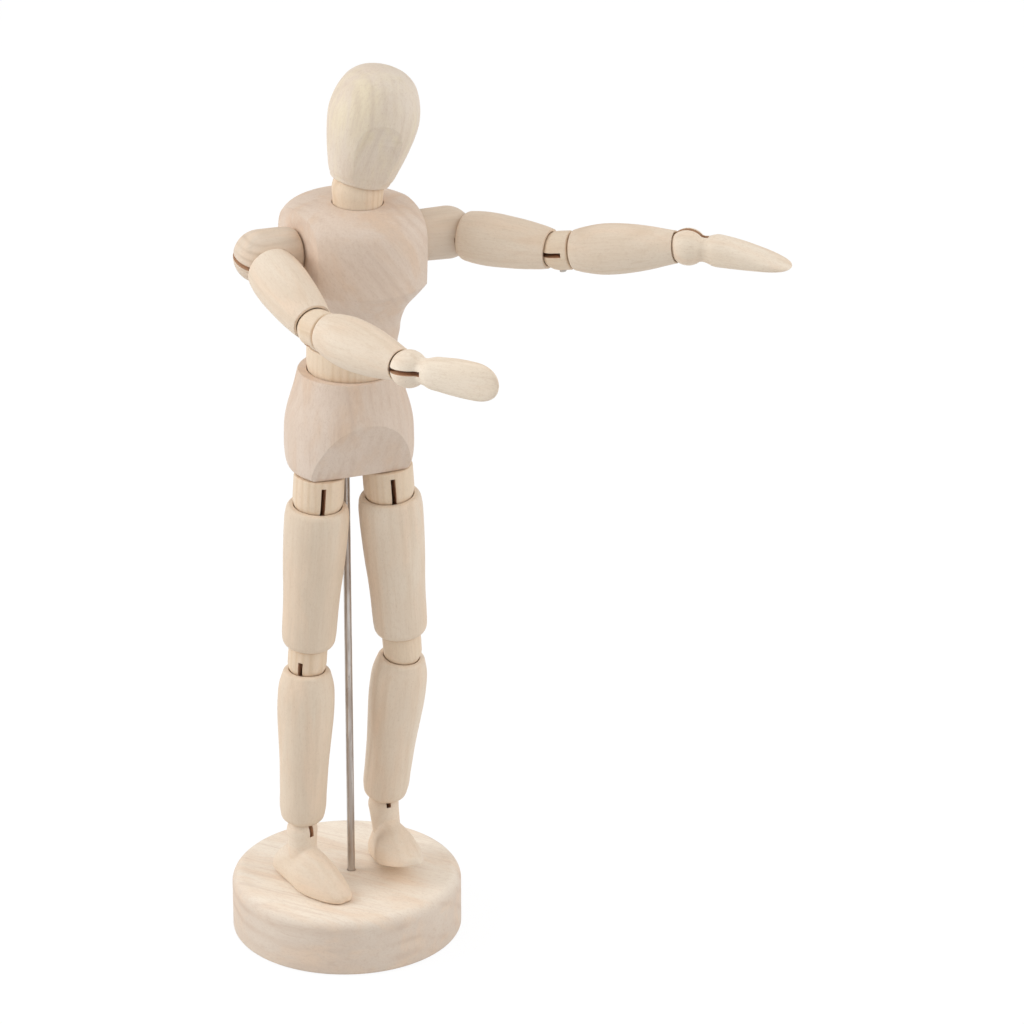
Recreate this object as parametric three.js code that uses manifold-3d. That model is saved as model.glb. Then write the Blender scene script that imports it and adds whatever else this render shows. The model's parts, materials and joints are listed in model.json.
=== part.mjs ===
// A jointed wooden drawing mannequin on a round base, in millimetres, +Z up.
// The origin is the middle of the underside of the base. The figure faces -Y and its left side is +X.
// Every limb has its own frame: origin at the pivot nearest the body, +Z along the limb, +X along the pivot pin.
import * as THREE from "three";
import { mergeVertices } from "three/addons/utils/BufferGeometryUtils.js";
import Module from "manifold-3d";

const wasm = await Module();
wasm.setup();

// Stand
const baseDiameter = 76;
const baseHeight = 19.6;
const baseTopRound = 3.7;
const baseFootRound = 0.9;
const rodDiameter = 2.5;
const rodOffCentre = { x: 1.2, y: -1.2 }; // the hole is drilled a little off the middle of the base
const rodInBase = 12;
const rodInPelvis = 10;

// The feet hang just above the base, so the legs set the height of the pelvis
const footGap = 0.35;

// The body, and the places of the joints on it
const pelvisHeight = 33.5;
const pelvisForward = 3.6; // the rod enters behind the middle of the pelvis
const pelvisFacet = { atBottom: 10.4, meetsSide: 20.5, sideRadius: 19.7 }; // the slope cut on the front and the back
const waistHeight = 36.5; // waist pivot above the underside of the pelvis
const waistAside = 1.3; // towards the figure's left
const hipSpacing = 24;
const hipForward = 3.8;
const hipDrop = 7.8; // hip pivot below the underside of the pelvis
const hipSplay = 3.9; // degrees that the seats of the hip balls face outwards
const chestBottom = 5.3; // above the waist pivot
const chestTop = 53.7;
const sideFlat = 19.1; // middle of the chest to the flat that a shoulder ball sits on
const sideFlatTurn = 2; // degrees that this flat is turned to the front
const shoulderHeight = 38.5; // above the waist pivot
const neckForward = 3;
const neckHeight = 58; // neck pivot above the waist pivot
const neckSocketDepth = 3;
const headLength = 38.4;
const headSeat = 2.5; // underside of the head above the neck pivot
const headHollow = { radius: 5.8, top: 13 }; // for the neck spring

// Turned balls: the radius, the flat end and the end of the slot, measured from the pivot
const waistBall = { radius: 14.5, flat: 5, tenonRadius: 6, tenonLength: 6 };
const neckBall = { radius: 8.2, postRadius: 7.9, narrowAt: 3, hollow: 2.9, hollowTop: 6 };
const shoulderBall = { radius: 8.45, flat: 12.3, seatRadius: 7.6, tenonRadius: 3.4, tenonLength: 7, slotBeyond: 2.3 };
const reliefSwing = 70; // degrees of swing from which the stem is scooped out for the arm
const rimLip = 0.4; // that the scoop reaches beyond the arm's rim
const elbowBall = { radius: 6.2, flat: 3.9, slotBeyond: 3 };
const wristBall = { radius: 5.9, slotBeyond: 5.6 };
const hipBall = { radius: 8.2, flat: 7.5, tenonRadius: 3.4, tenonLength: 7.5, slotBeyond: 5.5 };
const kneeBall = { radius: 6.35, flat: 6.1, slotBeyond: 3.2 };
const ankleBall = { radius: 5.1, slotBeyond: 2.9 };

// Limbs, pivot to pivot
const upperArmLength = 39.7;
const forearmLength = 42.5;
const thighLength = 60.3;
const shinLength = 61.2;
const soleBelowAnkle = 18.6;

// Fits and hardware
const cupClearance = 0.35; // between a ball and the cup that it sits in
const seatGap = 0.3; // between flat faces, and round the tenons
const slotWidth = 1.8;
const pinRadius = 1.1;
const pinClearance = 0.15;
const pinCover = 1.6; // wood left over the blind end of each pin hole
const pinFlush = 0.3; // the open end of a pin lies this far inside its ball
const wireRadius = 0.3;
const wireOffset = 0.44; // two wires share a pin side by side
const coilRadius = 1.9;
const coilPitch = 5;
const boreRadius = 2.7;
const shankHole = 1.1;
const hookReach = 12; // length of the loose hooks past their pivot

// Turned outlines, bottom to top: radius, then height in the piece's own frame
const pelvisOutline = [
  [18.2, 0],
  [19.5, 0.8],
  [20.3, 2.8],
  [20.7, 5.5],
  [20.8, 11],
  [20.5, 16.5],
  [19.7, 20.5],
  [18.7, 24],
  [17.6, 27.6],
  [16.2, 33.2],
  [15.9, pelvisHeight],
];
const chestOutline = [
  [14.3, chestBottom],
  [14.6, 7.6],
  [15.1, 10.3],
  [15.3, 13],
  [16, 15.8],
  [17.1, 18.6],
  [18.9, 21.3],
  [21.2, 24],
  [23.3, 26.6],
  [24.6, 28.4],
  [24.6, 41],
  [24.3, 44.4],
  [23.4, 47.4],
  [21.6, 49.8],
  [18.4, 51.7],
  [14, 52.9],
  [8, 53.6],
  [0, chestTop],
];
const crown = headSeat + headLength;
const headOutline = [
  [8.6, headSeat],
  [9.6, headSeat + 1],
  [10.3, crown - 36],
  [11.4, crown - 32.5],
  [12.5, crown - 28.5],
  [13.4, crown - 24.5],
  [14.1, crown - 20.4],
  [14.4, crown - 16.4],
  [13.9, crown - 12.4],
  [12.7, crown - 8.3],
  [10.6, crown - 4.3],
  [7.8, crown - 1.9],
  [4.2, crown - 0.5],
  [0, crown],
];
const upperArmOutline = [
  [7.1, 6.5],
  [8, 8.7],
  [8.4, 12],
  [8.5, 17],
  [8.2, 22],
  [7.8, 27],
  [7.3, 31],
  [6.8, 34.3],
  [6.4, upperArmLength - 3.5],
];
const forearmStart = elbowBall.flat + seatGap;
const forearmOutline = [
  [5.6, forearmStart],
  [6.2, forearmStart + 0.7],
  [7.3, 9],
  [8, 14],
  [8, 19],
  [7.5, 25],
  [6.6, 31],
  [5.6, 36],
  [5.2, forearmLength - 4],
];
const thighEnd = thighLength - kneeBall.flat - seatGap;
const thighOutline = [
  [9.8, 3.3],
  [10.3, 5.5],
  [10.5, 11],
  [10.3, 18],
  [9.8, 27],
  [9.3, 34],
  [9, 41],
  [8.9, 47],
  [8.6, thighEnd - 2.2],
  [7.8, thighEnd - 0.6],
  [6.6, thighEnd],
];
const shinOutline = [
  [7.2, 3.1],
  [8.1, 5],
  [8.9, 8],
  [9.3, 14],
  [9.2, 20],
  [8.8, 26],
  [8.1, 36],
  [7.7, 47],
  [7.4, 54.3],
  [6.7, 56.8],
  [5.6, shinLength - 3.5],
];

// The flat face is cut along this line: forward of the neck's middle (negative), then height
const faceLine = [
  [-14.3, crown - 17.5],
  [-12.6, crown - 21],
  [-11.4, crown - 25],
  [-9.4, crown - 36],
  [-8.9, crown - 40],
];

// Hand, from the fingertips' side: height from the wrist, half-width along X, then the palm and the back along Y
const handSections = [
  [6, 4.1, -4.2, 4.2],
  [8.5, 4.8, -4.9, 4.9],
  [12, 5.2, -4.9, 4.6],
  [17, 5.7, -4.6, 3.6],
  [22, 5.9, -4.2, 2.2],
  [26, 5.8, -3.8, 0.9],
  [29, 5.1, -3.4, -0.2],
  [31.2, 3.8, -3, -1],
  [32.4, 2.2, -2.6, -1.5],
];

// Foot: distance forward of the ankle, half-width, then the top and the sole below the ankle
const footSections = [
  [-12, 1.6, 10.5, 14.4],
  [-11.2, 3.8, 8, 16.3],
  [-8.5, 5.6, 5.8, 17.6],
  [-4, 6.3, 4.5, soleBelowAnkle - 0.2],
  [1, 6.7, 4.5, soleBelowAnkle],
  [7, 7, 6.5, soleBelowAnkle],
  [13, 6.6, 10.2, soleBelowAnkle],
  [17.5, 5.6, 12.8, soleBelowAnkle - 0.1],
  [21, 3.7, 14.6, 18.2],
  [22.2, 2, 15.8, 17.8],
];

// The pose of the photograph in degrees: turn about the limb, lean of the hook in its slot, bend about the pin
const pose = {
  pelvisTurn: 0,
  waistLean: 1.5,
  waistBend: 0,
  chestTurn: 3,
  neckTurn: -7,
  headTilt: 11.6,
  headNod: 0,
  left: {
    shoulder: [-1.7, 0, 46.8],
    elbow: [180, 8.85, 5.13],
    wrist: [-83.55, 5, 12],
    hip: [8, -0.7, -3.3],
    knee: [100.2, 2.7, 10],
    ankle: [-109.9, -3.4, 27],
  },
  right: {
    shoulder: [-16.4, 0, 94],
    elbow: [42.2, 3, 20.1],
    wrist: [132, -5, -16],
    hip: [8, -0.4, -5],
    knee: [32, -3, 2.76],
    ankle: [-60.1, -1.8, 1.6],
  },
};

// The end of its X axis that each pin is driven in from, on the side that faces away in the photograph
const pinsFrom = {
  left: { shoulder: 1, elbow: -1, elbowProud: 0.7, wrist: 1, hip: -1, knee: 1, ankle: -1 },
  right: { shoulder: -1, elbow: -1, wrist: 1, hip: -1, knee: 1, ankle: -1 },
};

// Facets
const wideSides = 30;
const limbSides = 16;
const ballSides = 14;
const pinSides = 8;
const wireSides = 3;
const coilSteps = 5; // in each turn

const wood = { color: 0xe3d0b8, roughness: 0.62, metalness: 0 };
const paleWood = { color: 0xead9c0, roughness: 0.62, metalness: 0 };
const yellowWood = { color: 0xe6cfa4, roughness: 0.6, metalness: 0 };
const steel = { color: 0x8d8178, roughness: 0.35, metalness: 1 };

const profileOf = (pairs) => pairs.map(([r, z]) => new THREE.Vector2(r, z));
const radians = THREE.MathUtils.degToRad;
const degrees = THREE.MathUtils.radToDeg;

// Profile points on a circle centred at a height on the axis, between two elevations in degrees.
function arc(z, radius, from, to, steps) {
  const pairs = [];
  for (let i = 0; i <= steps; i++) {
    const a = radians(from + ((to - from) * i) / steps);
    pairs.push([Math.max(0, radius * Math.cos(a)), z + radius * Math.sin(a)]);
  }
  return pairs;
}

// The elevations at which a circle passes a half-width, or a height over its centre.
const atWidth = (width, radius) => degrees(Math.acos(width / radius));
const atHeight = (height, radius) => degrees(Math.asin(height / radius));

function solidOf(geometry) {
  const plain = geometry.index ? geometry.toNonIndexed() : geometry.clone();
  plain.deleteAttribute("normal");
  plain.deleteAttribute("uv");
  const merged = mergeVertices(plain, 1e-4);
  return new wasm.Manifold(
    new wasm.Mesh({
      numProp: 3,
      vertProperties: merged.attributes.position.array,
      triVerts: new Uint32Array(merged.index.array),
    }),
  );
}

function geometryOf(solid) {
  const mesh = solid.getMesh();
  const geometry = new THREE.BufferGeometry();
  geometry.setAttribute("position", new THREE.BufferAttribute(new Float32Array(mesh.vertProperties), 3));
  geometry.setIndex(new THREE.BufferAttribute(new Uint32Array(mesh.triVerts), 1));
  const flat = geometry.toNonIndexed();
  flat.computeVertexNormals();
  return flat;
}

// A turned piece: its profile goes from the bottom, up the outside, and back down any bore.
function turned(pairs, sides) {
  const points = profileOf(pairs);
  if (points[0].x > 0) points.push(points[0].clone());
  return solidOf(new THREE.LatheGeometry(points, sides).rotateX(Math.PI / 2));
}

const box = (width, depth, height, x, y, z) =>
  solidOf(new THREE.BoxGeometry(width, depth, height).translate(x, y, z));

// A round bar or drill along Z between two heights, narrowing to the top if a second radius is given.
const bar = (radius, from, to, sides = pinSides, topRadius = radius) =>
  solidOf(
    new THREE.CylinderGeometry(topRadius, radius, to - from, sides)
      .rotateX(Math.PI / 2)
      .translate(0, 0, (from + to) / 2),
  );

// A drill or pin along X, between two distances from the pivot on the side `way` (1 or -1).
const crossBar = (radius, from, to, way) =>
  solidOf(
    new THREE.CylinderGeometry(radius, radius, to - from, pinSides)
      .rotateZ(Math.PI / 2)
      .translate((way * (from + to)) / 2, 0, 0),
  );

// A prism along X from points in the YZ plane.
function prism(pairs, halfWidth) {
  const shape = new THREE.Shape(pairs.map(([y, z]) => new THREE.Vector2(y, z)));
  const made = new THREE.ExtrudeGeometry(shape, { depth: 2 * halfWidth, bevelEnabled: false });
  // the shape's x and y become Y and Z, and its depth becomes X
  made.applyMatrix4(new THREE.Matrix4().set(0, 0, 1, -halfWidth, 1, 0, 0, 0, 0, 1, 0, 0, 0, 0, 0, 1));
  return solidOf(made);
}

// A solid through rings of points, closed at both ends.
function lofted(rings) {
  const n = rings[0].length;
  const triangles = [];
  const add = (...corners) => corners.forEach((p) => triangles.push(p.x, p.y, p.z));
  for (let k = 0; k + 1 < rings.length; k++)
    for (let i = 0; i < n; i++) {
      const j = (i + 1) % n;
      add(rings[k][i], rings[k][j], rings[k + 1][j]);
      add(rings[k][i], rings[k + 1][j], rings[k + 1][i]);
    }
  const first = rings[0];
  const last = rings[rings.length - 1];
  for (let i = 1; i + 1 < n; i++) {
    add(first[0], first[i + 1], first[i]);
    add(last[0], last[i], last[i + 1]);
  }
  const geometry = new THREE.BufferGeometry();
  geometry.setAttribute("position", new THREE.BufferAttribute(new Float32Array(triangles), 3));
  const made = solidOf(geometry);
  if (made.volume() > 0) return made;
  const order = [];
  for (let i = 0; i < triangles.length; i += 9)
    order.push(...triangles.slice(i, i + 3), ...triangles.slice(i + 6, i + 9), ...triangles.slice(i + 3, i + 6));
  const turnedRound = new THREE.BufferGeometry();
  turnedRound.setAttribute("position", new THREE.BufferAttribute(new Float32Array(order), 3));
  return solidOf(turnedRound);
}

// Round wire along a path of points, carried without twist from one point to the next.
function wire(path) {
  const rings = [];
  let side = new THREE.Vector3(1, 0, 0);
  for (let k = 0; k < path.length; k++) {
    const before = path[Math.max(0, k - 1)];
    const after = path[Math.min(path.length - 1, k + 1)];
    const along = after.clone().sub(before).normalize();
    side.addScaledVector(along, -side.dot(along)).normalize();
    const across = along.clone().cross(side);
    const ring = [];
    for (let i = 0; i < wireSides; i++) {
      const a = (2 * Math.PI * (i + 0.5)) / wireSides;
      ring.push(
        path[k]
          .clone()
          .addScaledVector(side, wireRadius * Math.cos(a))
          .addScaledVector(across, wireRadius * Math.sin(a)),
      );
    }
    rings.push(ring);
  }
  return lofted(rings);
}

// The hook of a spring: a ring round the pin at `pivot`, leading to a point on the axis `way` (1 or -1) along Z.
function hookPath(pivot, way, offset) {
  const path = [];
  const radius = pinRadius + pinClearance + wireRadius;
  for (let a = 20; a <= 300; a += 40)
    path.push(
      new THREE.Vector3(offset, radius * Math.sin(radians(a)), pivot + way * radius * Math.cos(radians(a))),
    );
  path.push(new THREE.Vector3(offset, 0, pivot + way * 2 * radius));
  return path;
}

// The coil of a spring between two heights, which starts and ends on the axis.
function coilPath(from, to, offset = 0) {
  const length = Math.abs(to - from);
  const turns = Math.max(1, Math.round(length / coilPitch));
  const steps = turns * coilSteps;
  const path = [new THREE.Vector3(offset, 0, from)];
  for (let i = 1; i < steps; i++) {
    const a = (2 * Math.PI * i) / coilSteps;
    path.push(
      new THREE.Vector3(coilRadius * Math.cos(a), coilRadius * Math.sin(a), from + ((to - from) * i) / steps),
    );
  }
  path.push(new THREE.Vector3(offset, 0, to));
  return path;
}

// A ball's slot, the hole for its pin and the pin.
const slotToward = (way, beyond, radius) =>
  box(slotWidth, 4 * radius, beyond + 2 * radius, 0, 0, way * (radius - beyond / 2));
// The hole is drilled from the end `way` (1 or -1) of the X axis and stops short of the other side.
const pinHole = (radius, way) => crossBar(pinRadius + pinClearance, pinCover - radius, 2 * radius, way);
const pinFor = (ball, way, proud = -pinFlush) =>
  crossBar(pinRadius, pinCover + pinClearance - ball.radius, ball.radius + proud, way);

// Stand pieces
function baseDisc() {
  const r = baseDiameter / 2;
  const foot = arc(0, baseFootRound, -90, 0, 2).map(([x, z]) => [r - baseFootRound + x, baseFootRound + z]);
  const shoulder = arc(0, baseTopRound, 0, 90, 4).map(([x, z]) => [r - baseTopRound + x, baseHeight - baseTopRound + z]);
  const disc = turned([[0, 0], ...foot, ...shoulder, [0, baseHeight]], 48);
  const hole = bar(rodDiameter / 2 + pinClearance, baseHeight - rodInBase - seatGap, baseHeight + 1, 12);
  return disc.subtract(hole.translate(rodOffCentre.x, rodOffCentre.y, 0));
}

const supportRod = (pelvisBottom) =>
  bar(rodDiameter / 2, baseHeight - rodInBase, pelvisBottom + rodInPelvis, 12);

// Trunk pieces
function pelvisBlock() {
  const cup = waistBall.radius + cupClearance;
  const block = turned([[0, 0], ...pelvisOutline, [0, pelvisHeight]], wideSides);
  const hollow = turned(arc(waistHeight, cup, -90, 90, 12), wideSides).translate(waistAside, 0, 0);
  const { atBottom, meetsSide, sideRadius } = pelvisFacet;
  const slope = (sideRadius - atBottom) / meetsSide;
  const wide = 2 * sideRadius;
  const cut = prism(
    [
      [-atBottom + slope, -1],
      [-wide, -1],
      [-wide, pelvisHeight],
      [-atBottom - slope * pelvisHeight, pelvisHeight],
    ],
    wide,
  );
  const back = cut.rotate(0, 0, 180);
  let made = block.subtract(hollow).subtract(cut).subtract(back);
  // each hip ball has a shallow tilted seat and a socket for its tenon, drawn upwards from the hip pivot
  const seatTop = hipBall.flat + seatGap;
  const seat = bar(hipBall.radius + seatGap, 0, seatTop, 16);
  const socket = bar(hipBall.tenonRadius + seatGap, seatTop - 1, seatTop + hipBall.tenonLength, 12);
  for (const s of [-1, 1])
    made = made.subtract(
      seat.add(socket).rotate(0, -s * hipSplay, 0).translate((s * hipSpacing) / 2, -hipForward, -hipDrop),
    );
  const hole = bar(rodDiameter / 2 + pinClearance, -1, rodInPelvis + seatGap, 12);
  return made.subtract(hole.translate(0, pelvisForward, 0));
}

function waistBallSolid() {
  const { radius, flat, tenonRadius, tenonLength } = waistBall;
  const ball = turned(
    [
      ...arc(0, radius, -90, 0, 7),
      [radius, flat],
      [tenonRadius, flat],
      [tenonRadius, flat + tenonLength],
      [0, flat + tenonLength],
    ],
    wideSides,
  );
  const hollow = bar(9, -radius - 1, 2.6, 16, 2.9);
  return ball.subtract(hollow);
}

function chestBlock() {
  const socketRadius = waistBall.tenonRadius + seatGap;
  const socketTop = waistBall.flat + waistBall.tenonLength + seatGap;
  const block = turned(
    [[socketRadius, chestBottom], ...chestOutline, [0, socketTop], [socketRadius, socketTop]],
    wideSides,
  );
  let made = block;
  for (const s of [-1, 1]) {
    const cut = box(chestTop, 2 * chestTop, 2 * chestTop, (s * chestTop) / 2, 0, chestTop / 2)
      .rotate(0, 0, -s * sideFlatTurn)
      .translate(s * sideFlat, 0, 0);
    const socket = bar(shoulderBall.tenonRadius + seatGap, -shoulderBall.tenonLength - 2 * seatGap, 2, 12)
      .rotate(0, s * 90, 0)
      .rotate(0, 0, -s * sideFlatTurn)
      .translate(s * sideFlat, 0, shoulderHeight);
    made = made.subtract(cut).subtract(socket);
  }
  const bore = bar(boreRadius, -sideFlat, sideFlat, 12).rotate(0, 90, 0);
  made = made.subtract(bore.translate(0, shoulderSpringBack, shoulderHeight));
  const neck = bar(neckBall.postRadius + seatGap, chestTop - neckSocketDepth, chestTop + 5, 24);
  return made.subtract(neck.translate(0, -neckForward, 0));
}

// The middle of the shoulder spring, behind the seats because the seats are turned to the front.
const shoulderSpringBack = 1;

function shoulderSpring() {
  const half = sideFlat - shoulderBall.tenonLength - 2.2;
  return wire(coilPath(-half, half)).rotate(0, 90, 0).translate(0, shoulderSpringBack, shoulderHeight);
}

function neckPost() {
  const { radius, postRadius, narrowAt, hollow, hollowTop } = neckBall;
  const bottom = chestTop - neckSocketDepth + seatGap - neckHeight;
  const post = turned(
    [[0, bottom], [postRadius, bottom], [postRadius, -narrowAt], [radius, -1], ...arc(0, radius, 0, 90, 6)],
    24,
  );
  return post.subtract(bar(hollow, -2, radius + 1, 16, hollowTop));
}

function neckSpring() {
  return wire([...hookPath(0, 1, 0), ...coilPath(4, 12)]);
}

function headBlock() {
  const cup = neckBall.radius + cupClearance;
  const { radius, top } = headHollow;
  const egg = turned(
    [...arc(0, cup, atHeight(headSeat, cup), atWidth(radius, cup), 3).reverse(), ...headOutline, [0, top], [radius, top]],
    wideSides,
  );
  const lowest = faceLine[faceLine.length - 1][1];
  const face = prism([...faceLine, [-crown, lowest], [-crown, faceLine[0][1]]], crown);
  return egg.subtract(face);
}

// A turned limb with a bore through it. `outside` lists radius and height between its two ends.
function limb(start, outside, end) {
  return turned([...start, ...outside, ...end], limbSides);
}

// The cup that a ball sits in: from its rim to the bore, for the end of a limb that faces -Z or +Z.
function cupUp(radius, rimHeight, steps = 4) {
  return arc(0, radius, atWidth(boreRadius, radius), atHeight(rimHeight, radius), steps);
}
function cupDown(centre, radius, rimHeight, steps = 4) {
  return arc(centre, radius, -atHeight(rimHeight, radius), -atWidth(boreRadius, radius), steps);
}

// Arm pieces
function shoulderBallSolid(way, swing) {
  const { radius, flat, seatRadius, tenonRadius, tenonLength, slotBeyond } = shoulderBall;
  let made = turned(
    [
      [0, -flat - tenonLength],
      [tenonRadius, -flat - tenonLength],
      [tenonRadius, -flat],
      [seatRadius, -flat],
      [radius - 0.25, -flat + 0.8],
      ...arc(0, radius, 0, 90, 5),
    ],
    ballSides,
  );
  if (swing > reliefSwing) {
    const wide = upperArmOutline.map(([reach, height]) => [reach + cupClearance, height]);
    const [[rimReach, rimHeight]] = wide;
    const lip = rimHeight - rimLip;
    const arm = turned([[0, lip], [rimReach, lip], ...wide, [0, upperArmLength - 3.5]], ballSides);
    made = made.subtract(arm.rotate([swing, 0, 0])).add(turned(arc(0, radius, -90, 90, 10), ballSides));
  }
  return made.subtract(slotToward(1, slotBeyond, radius)).subtract(pinHole(radius, way));
}

const looseHook = () => wire([...hookPath(0, 1, 0), new THREE.Vector3(0, 0, hookReach)]);

const upperArm = () =>
  limb(
    cupUp(shoulderBall.radius + cupClearance, 6.37),
    upperArmOutline,
    cupDown(upperArmLength, elbowBall.radius + cupClearance, 3.5),
  );

const upperArmSpring = (offset) =>
  wire([...coilPath(hookReach + 1.5, upperArmLength - 9), ...hookPath(upperArmLength, -1, offset).reverse()]);

function elbowBallSolid(way) {
  const { radius, flat, slotBeyond } = elbowBall;
  const ball = turned([...arc(0, radius, -90, 0, 5), [radius, flat], [0, flat]], ballSides);
  return ball
    .subtract(slotToward(-1, slotBeyond, radius))
    .subtract(pinHole(radius, way))
    .subtract(bar(shankHole, 0, flat + 1));
}

const forearmSpring = (offset) => {
  const end = forearmLength - hookReach - 1.5;
  return wire([...hookPath(0, 1, offset), ...coilPath(7, end)]);
};

const forearm = () =>
  limb([[boreRadius, forearmStart]], forearmOutline, cupDown(forearmLength, wristBall.radius + cupClearance, 4));

function ovals(sections, power = 2.4, points = 12) {
  return sections.map(([z, halfWidth, low, high]) => {
    const ring = [];
    for (let i = 0; i < points; i++) {
      const a = (2 * Math.PI * i) / points;
      const soft = (v) => Math.sign(v) * Math.abs(v) ** (2 / power);
      ring.push(
        new THREE.Vector3(
          halfWidth * soft(Math.cos(a)),
          (low + high) / 2 + ((high - low) / 2) * soft(Math.sin(a)),
          z,
        ),
      );
    }
    return ring;
  });
}

function handSolid(way) {
  const { radius, slotBeyond } = wristBall;
  const ball = turned(arc(0, radius, -90, 90, 9), ballSides);
  const stem = bar(4.2, 2, 7, ballSides);
  return ball
    .add(stem)
    .add(lofted(ovals(handSections)))
    .subtract(slotToward(-1, slotBeyond, radius))
    .subtract(pinHole(radius, way));
}

// Leg pieces
function hipBallSolid(way) {
  const { radius, flat, tenonRadius, tenonLength, slotBeyond } = hipBall;
  const ball = turned(
    [
      [0, -flat - tenonLength],
      [tenonRadius, -flat - tenonLength],
      [tenonRadius, -flat],
      [radius, -flat],
      ...arc(0, radius, 0, 90, 5),
    ],
    ballSides,
  );
  return ball.subtract(slotToward(1, slotBeyond, radius)).subtract(pinHole(radius, way));
}

const thigh = () => limb(cupUp(hipBall.radius + cupClearance, 3.2, 5), thighOutline, [[boreRadius, thighEnd]]);

const thighSpring = (offset) =>
  wire([...coilPath(hookReach + 1.5, thighLength - 8), ...hookPath(thighLength, -1, offset).reverse()]);

function kneeBallSolid(way) {
  const { radius, flat, slotBeyond } = kneeBall;
  const ball = turned([[0, -flat], [radius, -flat], ...arc(0, radius, 0, 90, 5)], ballSides);
  return ball
    .subtract(slotToward(1, slotBeyond, radius))
    .subtract(pinHole(radius, way))
    .subtract(bar(shankHole, -flat - 1, 0));
}

const shin = () =>
  limb(
    cupUp(kneeBall.radius + cupClearance, 3, 5),
    shinOutline,
    cupDown(shinLength, ankleBall.radius + cupClearance, 3.5),
  );

const shinSpring = (offset) =>
  wire([...hookPath(0, 1, offset), ...coilPath(10, shinLength - hookReach - 1.5)]);

function footSolid(way) {
  const { radius, slotBeyond } = ankleBall;
  const ball = turned(arc(0, radius, -90, 90, 9), ballSides);
  const stem = bar(radius - 0.1, 0, 9, ballSides);
  // sections across the foot are drawn in XY and stood up: their height becomes forward distance
  const sole = lofted(
    ovals(footSections, 2.6).map((ring) => ring.map((p) => new THREE.Vector3(p.x, -p.z, p.y))),
  );
  return ball
    .add(stem)
    .add(sole)
    .subtract(slotToward(-1, slotBeyond, radius))
    .subtract(pinHole(radius, way));
}

// Assembly
const root = new THREE.Group();
root.name = "drawing_mannequin";

function add(parent, name, solid, look) {
  const mesh = new THREE.Mesh(geometryOf(solid), new THREE.MeshStandardMaterial(look));
  mesh.name = name;
  parent.add(mesh);
  return mesh;
}

const axes = { x: new THREE.Vector3(1, 0, 0), y: new THREE.Vector3(0, 1, 0), z: new THREE.Vector3(0, 0, 1) };

// A frame inside another one: moved, then turned about its own axes in the order given.
function frame(parent, name, x, y, z, ...turns) {
  const group = new THREE.Group();
  group.name = name;
  group.position.set(x, y, z);
  for (const [axis, angle] of turns)
    group.quaternion.multiply(new THREE.Quaternion().setFromAxisAngle(axes[axis], radians(angle)));
  parent.add(group);
  return group;
}

add(root, "base_disc", baseDisc(), wood);

const pelvis = frame(root, "pelvis_turn", rodOffCentre.x, rodOffCentre.y, 0, ["z", pose.pelvisTurn]);
const pelvisMiddle = frame(pelvis, "pelvis_middle", 0, -pelvisForward, 0);
add(pelvisMiddle, "pelvis_block", pelvisBlock(), wood);

const lean = frame(pelvisMiddle, "waist_lean", waistAside, 0, waistHeight, ["y", pose.waistLean]);
add(lean, "waist_spring", wire([...hookPath(0, -1, 0), ...coilPath(-4, -11)]), steel);
const waist = frame(lean, "waist_bend", 0, 0, 0, ["x", pose.waistBend]);
add(waist, "waist_ball", waistBallSolid(), yellowWood);
const chest = frame(waist, "chest_turn", 0, 0, 0, ["z", pose.chestTurn]);
add(chest, "chest_block", chestBlock(), wood);
add(chest, "shoulder_spring", shoulderSpring(), steel);

const neck = frame(chest, "neck_turn", 0, -neckForward, neckHeight, ["z", pose.neckTurn]);
add(neck, "neck_post", neckPost(), yellowWood);
const neckLean = frame(neck, "head_tilt", 0, 0, 0, ["y", pose.headTilt]);
add(neckLean, "neck_spring", neckSpring(), steel);
const head = frame(neckLean, "head_nod", 0, 0, 0, ["x", pose.headNod]);
add(head, "head_block", headBlock(), wood);

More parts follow.
